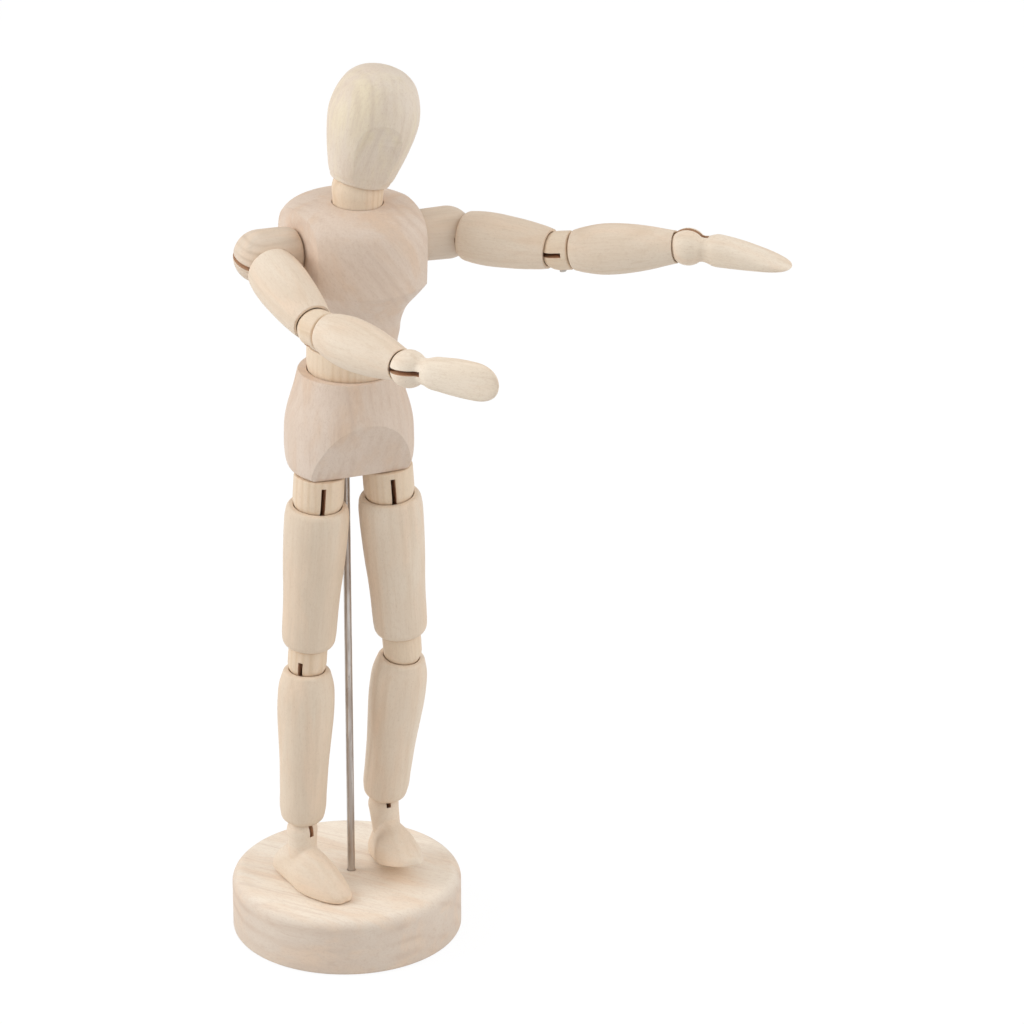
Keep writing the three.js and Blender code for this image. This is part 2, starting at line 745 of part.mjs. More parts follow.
function arm(name, side, angles, pins) {
  const turn = radians(sideFlatTurn);
  const reach = shoulderBall.flat + seatGap;
  const x = side * (sideFlat + reach * Math.cos(turn));
  const y = -reach * Math.sin(turn);
  // the seat frame points outwards with its pin upright
  const faceOut = [["z", -side * sideFlatTurn], ["y", side * 90]];
  const seat = frame(chest, name + "_shoulder_seat", x, y, shoulderHeight, ...faceOut);
  const [swivel, , swing] = angles.shoulder;
  const ball = frame(seat, name + "_shoulder_turn", 0, 0, 0, ["z", swivel]);
  add(ball, name + "_shoulder_ball", shoulderBallSolid(pins.shoulder, swing), yellowWood);
  add(ball, name + "_shoulder_pin", pinFor(shoulderBall, pins.shoulder), steel);
  const hook = frame(ball, name + "_shoulder_swing", 0, 0, 0, ["x", swing]);
  add(hook, name + "_shoulder_hook", looseHook(), steel);
  add(hook, name + "_upper_arm", upperArm(), paleWood);
  const [elbowTurn, elbowRock, elbowBend] = angles.elbow;
  const upper = frame(hook, name + "_upper_arm_twist", 0, 0, 0, ["z", elbowTurn]);
  const offset = elbowRock > 0 ? -wireOffset : wireOffset;
  add(upper, name + "_upper_arm_spring", upperArmSpring(offset), steel);
  const elbow = frame(upper, name + "_elbow_bend", 0, 0, upperArmLength, ["y", elbowRock], ["x", elbowBend]);
  add(elbow, name + "_elbow_ball", elbowBallSolid(pins.elbow), yellowWood);
  add(elbow, name + "_elbow_pin", pinFor(elbowBall, pins.elbow, pins.elbowProud), steel);
  add(elbow, name + "_forearm_spring", forearmSpring(-offset), steel);
  add(elbow, name + "_forearm", forearm(), paleWood);
  const [wristTurn, wristRock, wristBend] = angles.wrist;
  const wrist = frame(elbow, name + "_wrist_twist", 0, 0, forearmLength, ["z", wristTurn]);
  add(wrist, name + "_wrist_hook", looseHook().mirror([0, 0, 1]), steel);
  const hand = frame(wrist, name + "_wrist_bend", 0, 0, 0, ["y", wristRock], ["x", wristBend]);
  add(hand, name + "_hand", handSolid(pins.wrist), paleWood);
  add(hand, name + "_wrist_pin", pinFor(wristBall, pins.wrist), steel);
}

function leg(name, side, angles, pins) {
  // the seat frame points down and outwards with its pin from side to side
  const faceDown = [["y", -side * hipSplay], ["y", 180]];
  const seat = frame(pelvisMiddle, name + "_hip_seat", (side * hipSpacing) / 2, -hipForward, -hipDrop, ...faceDown);
  const [swivel, hipRock, swing] = angles.hip;
  const ball = frame(seat, name + "_hip_turn", 0, 0, 0, ["z", swivel]);
  add(ball, name + "_hip_ball", hipBallSolid(pins.hip), yellowWood);
  add(ball, name + "_hip_pin", pinFor(hipBall, pins.hip), steel);
  const hook = frame(ball, name + "_hip_swing", 0, 0, 0, ["x", swing], ["y", hipRock]);
  add(hook, name + "_hip_hook", looseHook(), steel);
  add(hook, name + "_thigh", thigh(), paleWood);
  const [kneeTurn, kneeRock, kneeBend] = angles.knee;
  const knee = frame(hook, name + "_knee_turn", 0, 0, thighLength, ["z", kneeTurn]);
  add(knee, name + "_knee_ball", kneeBallSolid(pins.knee), yellowWood);
  add(knee, name + "_knee_pin", pinFor(kneeBall, pins.knee), steel);
  add(knee, name + "_thigh_spring", thighSpring(wireOffset).translate(0, 0, -thighLength), steel);
  const shinFrame = frame(knee, name + "_knee_bend", 0, 0, 0, ["x", kneeBend], ["y", kneeRock]);
  add(shinFrame, name + "_shin", shin(), paleWood);
  add(shinFrame, name + "_shin_spring", shinSpring(-wireOffset), steel);
  const [ankleTurn, ankleRock, ankleBend] = angles.ankle;
  const ankle = frame(shinFrame, name + "_ankle_twist", 0, 0, shinLength, ["z", ankleTurn]);
  add(ankle, name + "_ankle_hook", looseHook().mirror([0, 0, 1]), steel);
  const foot = frame(ankle, name + "_ankle_bend", 0, 0, 0, ["y", ankleRock], ["x", ankleBend]);
  add(foot, name + "_foot", footSolid(pins.ankle), paleWood);
  add(foot, name + "_ankle_pin", pinFor(ankleBall, pins.ankle), steel);
  return foot;
}

arm("left", 1, pose.left, pinsFrom.left);
arm("right", -1, pose.right, pinsFrom.right);
const feet = [leg("left", 1, pose.left, pinsFrom.left), leg("right", -1, pose.right, pinsFrom.right)];

// The pelvis is lifted until the lower sole clears the base, and the rod reaches up to it.
root.updateMatrixWorld(true);
const soleHeights = feet.flatMap((foot) =>
  footSections.map(([forward, , , sole]) => foot.localToWorld(new THREE.Vector3(0, -forward, sole)).z),
);
pelvis.position.z = baseHeight + footGap - Math.min(...soleHeights);
add(root, "support_rod", supportRod(pelvis.position.z), steel).position.set(rodOffCentre.x, rodOffCentre.y, 0);

export default root;
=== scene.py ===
import json
import math
import random
import bpy
import numpy as np
from mathutils import Matrix, Vector


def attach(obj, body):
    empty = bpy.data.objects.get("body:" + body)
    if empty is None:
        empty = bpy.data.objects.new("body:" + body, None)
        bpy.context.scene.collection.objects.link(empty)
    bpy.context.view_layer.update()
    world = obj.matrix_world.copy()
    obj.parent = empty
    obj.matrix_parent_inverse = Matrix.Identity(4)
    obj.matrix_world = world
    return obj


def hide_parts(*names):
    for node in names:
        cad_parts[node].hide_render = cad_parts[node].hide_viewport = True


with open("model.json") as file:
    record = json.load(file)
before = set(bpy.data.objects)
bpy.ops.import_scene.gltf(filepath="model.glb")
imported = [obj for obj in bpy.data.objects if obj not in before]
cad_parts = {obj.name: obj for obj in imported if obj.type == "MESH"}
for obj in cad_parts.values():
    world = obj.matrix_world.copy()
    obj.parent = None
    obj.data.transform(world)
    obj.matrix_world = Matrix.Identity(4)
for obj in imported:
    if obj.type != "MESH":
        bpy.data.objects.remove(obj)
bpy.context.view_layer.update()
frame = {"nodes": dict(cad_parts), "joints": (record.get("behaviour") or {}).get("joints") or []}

scene = bpy.context.scene
mm = 0.001

# camera: a long lens in front of the figure, above it and towards its right side
camera = {
    "place": (-499.33, -1454.07, 820.38),
    "right": (0.93358, -0.35837, 0.0),
    "up": (0.14351, 0.37386, 0.91632),
    "lens": 182.81,
    "sensor": 36.0,
    "near": 0.05,
    "far": 50.0,
}


def inScene(name, data):
    made = bpy.data.objects.new(name, data)
    scene.collection.objects.link(made)
    return made


def makeCamera():
    data = bpy.data.cameras.new("camera")
    data.lens = camera["lens"]
    data.sensor_width = camera["sensor"]
    data.clip_start = camera["near"]
    data.clip_end = camera["far"]
    made = inScene("camera", data)
    right = Vector(camera["right"]).normalized()
    up = Vector(camera["up"]).normalized()
    made.matrix_world = Matrix.Translation(Vector(camera["place"]) * mm) @ (
        Matrix((right, up, right.cross(up))).transposed().to_4x4()
    )
    scene.camera = made


makeCamera()

# places of the pieces: each joint of the frame gives a pivot and an axis
joints = {j["name"]: j for j in frame["joints"]}


def pivot(joint):
    return Vector(joints[joint]["pos_m"])


def axis(joint):
    return Vector(joints[joint]["axis"]).normalized()


def placed(origin, along, across):
    # a piece's own frame: Z along the limb, X along its pin, in millimetres
    z = along.normalized()
    x = (across - z * across.dot(z)).normalized()
    made = Matrix((x, z.cross(x), z)).transposed().to_4x4()
    made.translation = origin
    return made @ Matrix.Scale(mm, 4)


def bentPlace(side, joint, angle):
    # the same for a hand or foot, which is bent about its pin from the limb's line
    bend = f"{side}_{joint}_bend"
    x = axis(bend)
    z = x.cross(axis(f"{side}_{joint}_twist").cross(x).normalized()).normalized()
    return placed(pivot(bend), Matrix.Rotation(math.radians(angle), 3, x) @ z, x)


def shift(x, y, z):
    return Matrix.Translation((x, y, z))


def spin(degrees, about, size=4):
    return Matrix.Rotation(math.radians(degrees), size, about)


# a socket that takes part in sums, and the one way in which nodes are made
class Sock:
    def __init__(self, maker, socket):
        self.maker = maker
        self.socket = socket

    def math(self, operation, first, second=None, clamp=False):
        values = {0: first} if second is None else {0: first, 1: second}
        return self.maker.node("ShaderNodeMath", {"operation": operation, "use_clamp": clamp}, values)

    def out(self, name):
        return Sock(self.maker, self.socket.node.outputs[name])

    def __add__(self, other):
        return self.math("ADD", self, other)

    def __radd__(self, other):
        return self.math("ADD", other, self)

    def __sub__(self, other):
        return self.math("SUBTRACT", self, other)

    def __rsub__(self, other):
        return self.math("SUBTRACT", other, self)

    def __mul__(self, other):
        return self.math("MULTIPLY", self, other)

    def __rmul__(self, other):
        return self.math("MULTIPLY", other, self)

    def __truediv__(self, other):
        return self.math("DIVIDE", self, other)

    def __pow__(self, other):
        return self.math("POWER", self, other)

    def sine(self):
        return self.math("SINE", self)

    def cosine(self):
        return self.math("COSINE", self)

    def floor(self):
        return self.math("FLOOR", self)

    def root(self):
        return self.math("SQRT", self)

    def clamped(self):
        return self.math("ADD", self, 0.0, clamp=True)


class Maker:
    def __init__(self, tree):
        self.tree = tree

    def node(self, kind, settings=None, sockets=None, out=0):
        made = self.tree.nodes.new(kind)
        for name, value in (settings or {}).items():
            setattr(made, name, value)
        for name, value in (sockets or {}).items():
            if isinstance(value, Sock):
                self.tree.links.new(value.socket, made.inputs[name])
            else:
                made.inputs[name].default_value = value
        return Sock(self, made.outputs[out]) if made.outputs else None

    def noise(self, where, scale, detail, roughness, distortion=0.0):
        sized = self.node("ShaderNodeVectorMath", {"operation": "MULTIPLY"}, {0: where, 1: scale})
        values = {"Vector": sized, "Scale": 1.0, "Detail": detail, "Roughness": roughness}
        values["Distortion"] = distortion
        return self.node("ShaderNodeTexNoise", {"noise_dimensions": "3D"}, values)

    def blend(self, amount, first, second):
        return self.node("ShaderNodeMix", {"data_type": "RGBA"}, {0: amount, 6: first, 7: second}, out=2)

    def step(self, value, low, high):
        return self.node(
            "ShaderNodeMapRange",
            {"interpolation_type": "SMOOTHSTEP"},
            {"Value": value, "From Min": low, "From Max": high, "To Min": 0.0, "To Max": 1.0},
        )


def startMaterial(name):
    material = bpy.data.materials.new(name)
    material.use_nodes = True
    material.node_tree.nodes.clear()
    return material, Maker(material.node_tree)


def endMaterial(maker, sockets):
    shader = maker.node("ShaderNodeBsdfPrincipled", {}, sockets)
    maker.node("ShaderNodeOutputMaterial", {}, {"Surface": shader})


def shade(red, green, blue):
    # a colour as it is seen on a screen, from 0 to 255
    def linear(v):
        v = v / 255
        return v / 12.92 if v <= 0.04045 else ((v + 0.055) / 1.055) ** 2.4

    return (linear(red), linear(green), linear(blue), 1.0)


# patterns: how fine the noise is across and along the grain, then its detail, roughness and distortion
woodPatterns = {
    "sway": ((0.05, 0.05, 0.02), 2.0, 0.5),
    "ringStrength": ((0.09, 0.09, 0.03), 1.0, 0.5),
    "fibre": ((1.6, 1.6, 0.05), 5.0, 0.65, 0.2),
    "fineFibre": ((6.0, 6.0, 0.25), 3.0, 0.6),
    "pore": ((4.2, 4.2, 0.55), 2.0, 0.5),
    "tone": ((0.07, 0.07, 0.025), 2.0, 0.55),
    "blush": ((0.11, 0.11, 0.03), 3.0, 0.6, 0.4),
    "streak": ((0.5, 0.5, 0.018), 3.0, 0.55),
    "fleck": ((1.5, 1.5, 0.8), 5.0, 0.75),
    "speck": ((2.6, 2.6, 1.1), 2.0, 0.5),
}
steelPatterns = {
    "drawn": ((5.0, 5.0, 0.15), 4.0, 0.6),
    "spots": ((1.1, 1.1, 0.5), 5.0, 0.6),
    "patch": ((0.5, 0.5, 0.06), 3.0, 0.6),
}
# where the noise of a pattern begins to show, and where it shows in full
patternEdges = {
    "ringStrength": (0.35, 0.7),
    "pore": (0.64, 0.76),
    "tone": (0.3, 0.7),
    "blush": (0.42, 0.7),
    "streak": (0.56, 0.7),
    "speck": (0.68, 0.76),
    "patch": (0.42, 0.62),
}


def patternsOf(m, where, patterns):
    made = {}
    for kind, values in patterns.items():
        made[kind] = m.noise(where, *values)
        if kind in patternEdges:
            made[kind] = m.step(made[kind], *patternEdges[kind])
    return made


# sanded bare wood: rings of growth round a far-off heart, fibres along the grain, pores and broad tones
def woodFinish(name, look):
    material, m = startMaterial(name)
    where = m.node("ShaderNodeAttribute", {"attribute_name": "grainAt"}, out="Vector")
    parts = m.node("ShaderNodeSeparateXYZ", {}, {0: where})
    x, y = parts.out("X"), parts.out("Y")
    p = patternsOf(m, where, woodPatterns)
    acrossX, acrossY = x + look["heart"][0], y + look["heart"][1]
    fromHeart = (acrossX * acrossX + acrossY * acrossY).root()
    wave = (fromHeart + p["sway"] * look["sway"]) * (2 * math.pi / look["ringSpacing"])
    ring = (wave.sine() * 0.5 + 0.5) ** look["ringSharpness"]
    # painted light from above: this attribute is 1 on the top of the base and fades down its rounded rim,
    # and the rings are weakened there
    paintedTopLight = m.node("ShaderNodeAttribute", {"attribute_name": "paintedTopLightAt"}, out="Fac")
    ring = ring * p["ringStrength"] * (1.0 - paintedTopLight * look["ringFadeInPaintedTopLight"])
    fibre = p["fibre"]
    # each layer: how much of it there is, and its colour
    layers = [
        # painted light: the light top colour laid over the top of the base
        (paintedTopLight * look["paintedTopLightDepth"], "top"),
        (p["blush"] * look["blushDepth"], "blush"),
        (p["streak"] * look["streakDepth"], "ringColour"),
        ((ring * look["ringDepth"]).clamped(), "ringColour"),
        (((fibre - 0.5) * look["fibreDepth"]).clamped(), "dark"),
        (((0.5 - fibre) * look["fibreDepth"] * 0.6).clamped(), "pale"),
        (((p["fineFibre"] - 0.52) * look["fineDepth"]).clamped(), "dark"),
        (((p["fleck"] - 0.5) * look["fleckDepth"]).clamped(), "dark"),
        (p["pore"] * look["poreDepth"], "poreColour"),
        (p["speck"] * look["speckDepth"], "poreColour"),
    ]
    colour = m.blend(p["tone"], look["light"], look["warm"])
    for amount, over in layers:
        colour = m.blend(amount, colour, look[over])
    height = fibre * 0.5 + p["fineFibre"] * 0.6 - p["pore"] * 0.8 - ring * 0.3
    soft = m.node("ShaderNodeBevel", {"samples": 6}, {"Radius": look["edge"] * mm})
    bump = {"Strength": look["bump"], "Distance": 0.06 * mm, "Height": height, "Normal": soft}
    values = {"Base Color": colour, "Normal": m.node("ShaderNodeBump", {}, bump), "Specular IOR Level": 0.32}
    values["Roughness"] = fibre * 0.16 + look["roughness"]
    endMaterial(m, values)
    return material


baseLook = {
    "light": shade(230, 215, 199),
    "warm": shade(225, 207, 190),
    "pale": shade(240, 226, 210),
    "dark": shade(208, 184, 163),
    "ringColour": shade(212, 187, 166),
    "poreColour": shade(184, 158, 137),
    "heart": (34.0, 21.0),
    "sway": 9.0,
    "ringSpacing": 5.6,
    "ringSharpness": 2.4,
    "ringDepth": 0.6,
    "fibreDepth": 0.9,
    "fineDepth": 0.9,
    "fleckDepth": 1.8,
    "poreDepth": 0.2,
    "speckDepth": 0.35,
    # painted light from above: the lighter colour of the base's top, how strongly it is laid on, and how
    # much the rings fade under it
    "top": shade(252, 240, 223),
    "paintedTopLightDepth": 0.9,
    "ringFadeInPaintedTopLight": 0.75,
    "blush": shade(240, 214, 188),
    "blushDepth": 0.6,
    "streakDepth": 0.3,
    "bump": 0.35,
    "edge": 0.5,
    "roughness": 0.5,
}
bodyLook = dict(
    baseLook,
    light=shade(229, 211, 195),
    warm=shade(223, 203, 185),
    ringColour=shade(210, 186, 167),
    heart=(60.0, 25.0),
    sway=5.0,
    ringSpacing=3.4,
    ringDepth=0.45,
    fibreDepth=1.1,
    fleckDepth=2.6,
    poreDepth=0.28,
    blush=shade(224, 197, 172),
    blushDepth=0.8,
    edge=0.35,
)
headLook = dict(
    bodyLook,
    light=shade(235, 222, 206),
    warm=shade(229, 213, 195),
    ringColour=shade(214, 196, 176),
    blush=shade(240, 226, 196),
    fleckDepth=1.5,
    edge=0.25,
)
limbLook = dict(
    baseLook,
    light=shade(238, 222, 202),
    warm=shade(232, 213, 191),
    pale=shade(244, 231, 214),
    dark=shade(212, 188, 162),
    ringColour=shade(222, 199, 173),
    heart=(26.0, 12.0),
    sway=4.0,
    ringSpacing=3.1,
    ringDepth=0.4,
    fibreDepth=0.9,
    poreDepth=0.14,
    edge=0.3,
)
# painted shade: a darker copy of the limb wood for the right leg, standing in for less light on it
rightLegShadedLook = dict(limbLook, light=shade(232, 214, 192), warm=shade(225, 205, 182))
# painted light: a lighter copy of the limb wood for the hands, standing in for more light on them
handLitLook = dict(limbLook, light=shade(247, 233, 214), warm=shade(243, 226, 204))
jointLook = dict(
    limbLook,
    light=shade(238, 219, 195),
    warm=shade(234, 212, 185),
    ringColour=shade(222, 194, 160),
    heart=(14.0, 9.0),
    ringSpacing=2.2,
    ringDepth=0.55,
    edge=0.25,
)
shoulderLook = dict(
    jointLook,
    light=shade(226, 211, 194),
    warm=shade(220, 202, 182),
    ringColour=shade(204, 182, 158),
)
sawnLook = dict(
    limbLook,
    light=shade(226, 186, 150),
    warm=shade(212, 166, 130),
    pale=shade(232, 202, 170),
    dark=shade(176, 132, 102),
    ringColour=shade(192, 148, 116),
    poreColour=shade(136, 98, 72),
    fibreDepth=1.6,
    poreDepth=0.4,
    bump=0.8,
    edge=0.15,
)


# drawn steel: fine lines along the wire and a thin brown skin in patches
def steelFinish(name, look):
    material, m = startMaterial(name)
    where = m.node("ShaderNodeAttribute", {"attribute_name": "grainAt"}, out="Vector")
    p = patternsOf(m, where, steelPatterns)
    colour = m.blend(p["patch"] * look["skin"], look["bare"], look["brown"])
    colour = m.blend(m.step(p["spots"], 0.6, 0.72) * 0.4, colour, look["spot"])
    height = p["drawn"] + p["spots"] * 0.4
    bump = {"Strength": 0.3, "Distance": 0.03 * mm, "Height": height}
    values = {"Base Color": colour, "Normal": m.node("ShaderNodeBump", {}, bump)}
    values["Metallic"] = 1.0 - p["patch"] * 0.35
    values["Roughness"] = p["drawn"] * 0.2 + look["roughness"]
    endMaterial(m, values)
    return material


rodLook = {
    "bare": shade(200, 194, 189),
    "brown": shade(164, 150, 140),
    "spot": shade(112, 98, 88),
    "skin": 0.7,
    "roughness": 0.26,
}
pinLook = dict(rodLook, bare=shade(196, 190, 182), skin=0.4, roughness=0.3)
wireLook = dict(rodLook, bare=shade(150, 142, 136), brown=shade(92, 78, 68), skin=0.6, roughness=0.35)

finishes = {
    "base_wood": woodFinish("sanded basswood of the base", baseLook),
    "body_wood": woodFinish("sanded basswood of the body", bodyLook),
    "head_wood": woodFinish("sanded basswood of the head", headLook),
    "limb_wood": woodFinish("sanded basswood of the limbs", limbLook),
    # painted shade: the right leg's wood is a darker copy of the limb wood
    "right_leg_shaded_wood": woodFinish("sanded basswood of the right leg, painted darker as shade", rightLegShadedLook),
    # painted light: the hands' wood is a lighter copy of the limb wood
    "hand_lit_wood": woodFinish("sanded basswood of the hands, painted lighter as light", handLitLook),
    "joint_wood": woodFinish("turned beech of the balls", jointLook),
    "shoulder_wood": woodFinish("turned beech of the shoulders", shoulderLook),
    "sawn": woodFinish("sawn slot walls", sawnLook),
    "rod_steel": steelFinish("drawn steel rod", rodLook),
    "pin_steel": steelFinish("steel pins", pinLook),
    "spring_steel": steelFinish("spring wire", wireLook),
}
print("finishes:", len(finishes))


def startTree(name, inputs):
    tree = bpy.data.node_groups.new(name, "GeometryNodeTree")
    for title, kind in inputs.items():
        tree.interface.new_socket(title, in_out="INPUT", socket_type="NodeSocket" + kind)
    tree.interface.new_socket("Piece", in_out="OUTPUT", socket_type="NodeSocketGeometry")
    m = Maker(tree)
    return tree, m, m.node("NodeGroupInput")


def endTree(m, shape, finish):
    real = m.node("GeometryNodeRealizeInstances", {}, {"Geometry": shape})
    painted = m.node("GeometryNodeSetMaterial", {}, {"Geometry": real, "Material": finish})
    m.node("NodeGroupOutput", {}, {0: painted})


# Geometry Nodes: a profile of points in XZ is turned about Z
def turningTree():
    tree, m, given = startTree("turning", {"Profile": "Geometry", "Sides": "Int", "Finish": "Material"})
    profile, sides = given.out("Profile"), given.out("Sides")
    rows = m.node("GeometryNodeAttributeDomainSize", {"component": "MESH"}, {0: profile}, out="Point Count")
    sheet = m.node("GeometryNodeMeshGrid", {}, {"Vertices X": sides + 1, "Vertices Y": rows})
    index = m.node("GeometryNodeInputIndex")
    column = (index / rows).floor()
    point = m.node(
        "GeometryNodeSampleIndex",
        {"data_type": "FLOAT_VECTOR", "domain": "POINT"},
        {"Geometry": profile, "Value": m.node("GeometryNodeInputPosition"), "Index": index - column * rows},
    )
    parts = m.node("ShaderNodeSeparateXYZ", {}, {0: point})
    radius, height = parts.out("X"), parts.out("Z")
    angle = column * (2 * math.pi) / sides
    around = {0: radius * angle.cosine(), 1: radius * angle.sine(), 2: height}
    where = m.node("ShaderNodeCombineXYZ", {}, around)
    bentSheet = m.node("GeometryNodeSetPosition", {}, {"Geometry": sheet, "Position": where})
    closed = m.node("GeometryNodeMergeByDistance", {}, {"Geometry": bentSheet, "Distance": 0.0004})
    endTree(m, closed, given.out("Finish"))
    return tree


# Geometry Nodes: round wire along a path of points
def wireTree():
    inputs = {"Path": "Geometry", "Radius": "Float", "Sides": "Int", "Finish": "Material"}
    tree, m, given = startTree("wire along a path", inputs)
    curve = m.node("GeometryNodeMeshToCurve", {}, {0: given.out("Path")})
    size = {"Resolution": given.out("Sides"), "Radius": given.out("Radius")}
    ring = m.node("GeometryNodeCurvePrimitiveCircle", {"mode": "RADIUS"}, size)
    tube = m.node("GeometryNodeCurveToMesh", {}, {"Curve": curve, "Profile Curve": ring, "Fill Caps": True})
    endTree(m, tube, given.out("Finish"))
    return tree


turning = turningTree()
wireAlong = wireTree()


def grown(points, tree, values):
    # runs a tree on a line of points and gives the plain mesh that it makes
    line = bpy.data.meshes.new("line")
    line.from_pydata([tuple(p) for p in points], [(i, i + 1) for i in range(len(points) - 1)], [])
    carrier = inScene("line", line)
    modifier = carrier.modifiers.new("grow", "NODES")
    modifier.node_group = tree
    for item in tree.interface.items_tree:
        if item.in_out == "INPUT" and item.name in values:
            modifier[item.identifier] = values[item.name]
    made = evaluated(carrier)
    carrier.modifiers.clear()
    bpy.data.objects.remove(carrier)
    return outward(made)


def evaluated(carrier):
    graph = bpy.context.evaluated_depsgraph_get()
    graph.update()
    baked = carrier.evaluated_get(graph)
    return bpy.data.meshes.new_from_object(baked, preserve_all_data_layers=True, depsgraph=graph)


def volumeOf(mesh):
    mesh.calc_loop_triangles()
    corners = np.zeros(len(mesh.vertices) * 3)
    mesh.vertices.foreach_get("co", corners)
    corners = corners.reshape(-1, 3)
    faces = np.zeros(len(mesh.loop_triangles) * 3, int)
    mesh.loop_triangles.foreach_get("vertices", faces)
    a, b, c = (corners[faces.reshape(-1, 3)[:, k]] for k in range(3))
    return float(np.einsum("ij,ij->i", a, np.cross(b, c)).sum() / 6)


def outward(mesh):
    if volumeOf(mesh) < 0:
        mesh.flip_normals()
    return mesh


# how many sides a turned shape gets
sidesOf = {
    "disc": 192, "kerf": 160, "block": 128, "round": 96, "limb": 80,
    "small": 64, "thin": 48, "hole": 40, "pin": 32, "wire": 10,
}


def turned(profile, kind, finish="limb_wood"):
    points = [(max(0.0, r), 0.0, z) for r, z in profile]
    if points[0][0] > 0:
        points.append(points[0])
    return grown(points, turning, {"Sides": sidesOf[kind], "Finish": finishes[finish]})


def meshOf(corners, faces, finish):
    mesh = bpy.data.meshes.new("shape")
    mesh.from_pydata(corners, [], faces)
    mesh.materials.append(finishes[finish])
    return outward(mesh)


def box(width, depth, height, x, y, z, finish="sawn"):
    xs, ys, zs = ((at - size / 2, at + size / 2) for at, size in ((x, width), (y, depth), (z, height)))
    corners = [(a, b, c) for a in xs for b in ys for c in zs]
    faces = [(0, 1, 3, 2), (4, 6, 7, 5), (0, 4, 5, 1), (2, 3, 7, 6), (0, 2, 6, 4), (1, 5, 7, 3)]
    return meshOf(corners, faces, finish)


def prism(points, halfWidth, finish):
    # points in YZ, drawn out along X
    n = len(points)
    corners = [(s * halfWidth, y, z) for s in (-1, 1) for y, z in points]
    faces = [tuple(range(n)), tuple(range(2 * n - 1, n - 1, -1))]
    faces += [(i, n + i, n + (i + 1) % n, (i + 1) % n) for i in range(n)]
    return meshOf(corners, faces, finish)


def lofted(rings, finish):
    n = len(rings[0])
    corners = [p for ring in rings for p in ring]
    faces = []
    for k in range(len(rings) - 1):
        for i in range(n):
            j = (i + 1) % n
            faces.append((k * n + i, k * n + j, (k + 1) * n + j, (k + 1) * n + i))
    faces.append(tuple(range(n - 1, -1, -1)))
    faces.append(tuple((len(rings) - 1) * n + i for i in range(n)))
    return meshOf(corners, faces, finish)


def moved(mesh, matrix):
    mesh.transform(matrix)
    return mesh


def joined(mesh, others, operation):
    carrier = inScene("work", mesh)
    tools = [inScene("tool", other) for other in others]
    for tool in tools:
        modifier = carrier.modifiers.new("cut", "BOOLEAN")
        modifier.operation = operation
        modifier.solver = "EXACT"
        modifier.material_mode = "TRANSFER"
        modifier.object = tool
    made = evaluated(carrier)
    for used in [carrier, *tools]:
        bpy.data.objects.remove(used)
    return made


def cut(mesh, *tools):
    return joined(mesh, tools, "DIFFERENCE")


def fused(mesh, *others):
    return joined(mesh, others, "UNION")


def softened(mesh, voxel, rounds, finish="limb_wood"):
    # one skin over fused shapes, with its inner corners filled as sandpaper leaves them
    carrier = inScene("work", mesh)
    skin = carrier.modifiers.new("skin", "REMESH")
    skin.mode = "VOXEL"
    skin.voxel_size = voxel
    sand = carrier.modifiers.new("sand", "SMOOTH")
    sand.factor = 0.6
    sand.iterations = rounds
    made = evaluated(carrier)
    bpy.data.objects.remove(carrier)
    made.materials.clear()
    made.materials.append(finishes[finish])
    return outward(made)


def arc(centre, radius, start, end, steps=16):
    angles = [math.radians(start + (end - start) * i / steps) for i in range(steps + 1)]
    return [(max(0.0, radius * math.cos(a)), centre + radius * math.sin(a)) for a in angles]


def atWidth(width, radius):
    return math.degrees(math.acos(width / radius))


def atHeight(height, radius):
    return math.degrees(math.asin(height / radius))


def flowing(points, steps=5):
    # a smooth line through the points, with tangents by chord length
    p = np.array(points, float)
    chord = np.linalg.norm(np.diff(p, axis=0), axis=1)
    slope = np.diff(p, axis=0) / chord[:, None]
    tangent = np.empty_like(p)
    tangent[0], tangent[-1] = slope[0], slope[-1]
    share = chord[:-1, None] / (chord[:-1, None] + chord[1:, None])
    tangent[1:-1] = slope[:-1] * (1 - share) + slope[1:] * share
    made = []
    for k in range(len(p) - 1):
        for i in range(steps):
            t = i / steps
            made.append(
                (2 * t**3 - 3 * t**2 + 1) * p[k]
                + (t**3 - 2 * t**2 + t) * chord[k] * tangent[k]
                + (-2 * t**3 + 3 * t**2) * p[k + 1]
                + (t**3 - t**2) * chord[k] * tangent[k + 1]
            )
    made.append(p[-1])
    return [tuple(float(v) for v in q) for q in made]


def rounded(corner, before, after, radius, steps=5):
    # a small round in place of a corner of a profile
    c, a, b = (np.array(v, float) for v in (corner, before, after))
    u = (a - c) / np.linalg.norm(a - c)
    v = (b - c) / np.linalg.norm(b - c)
    start, end = c + u * radius, c + v * radius
    made = []
    for i in range(steps + 1):
        t = i / steps
        made.append(tuple(float(w) for w in (1 - t) ** 2 * start + 2 * t * (1 - t) * c + t**2 * end))
    return made


def finished(name, mesh, place, body, node, slotName, grain=None, sharpAngle=38):
    # gives a mesh its grain coordinates, puts it in its place and lets it ride on its body
    corners = np.zeros(len(mesh.vertices) * 3, np.float32)
    mesh.vertices.foreach_get("co", corners)
    local = corners.reshape(-1, 3)
    if grain is not None:
        local = local @ np.array(grain.transposed(), np.float32)
    chance = random.Random(name)
    aside = [chance.uniform(-6, 6), chance.uniform(-6, 6), chance.uniform(-400, 400)]
    values = np.ascontiguousarray(local + np.array(aside, np.float32), np.float32)
    attribute = mesh.attributes.new("grainAt", "FLOAT_VECTOR", "POINT")
    attribute.data.foreach_set("vector", values.ravel())
    mesh.transform(place)
    mesh.shade_smooth()
    mesh.set_sharp_from_angle(angle=math.radians(sharpAngle))
    made = inScene(name, mesh)
    mesh.name = name
    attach(made, body)
    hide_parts(node)


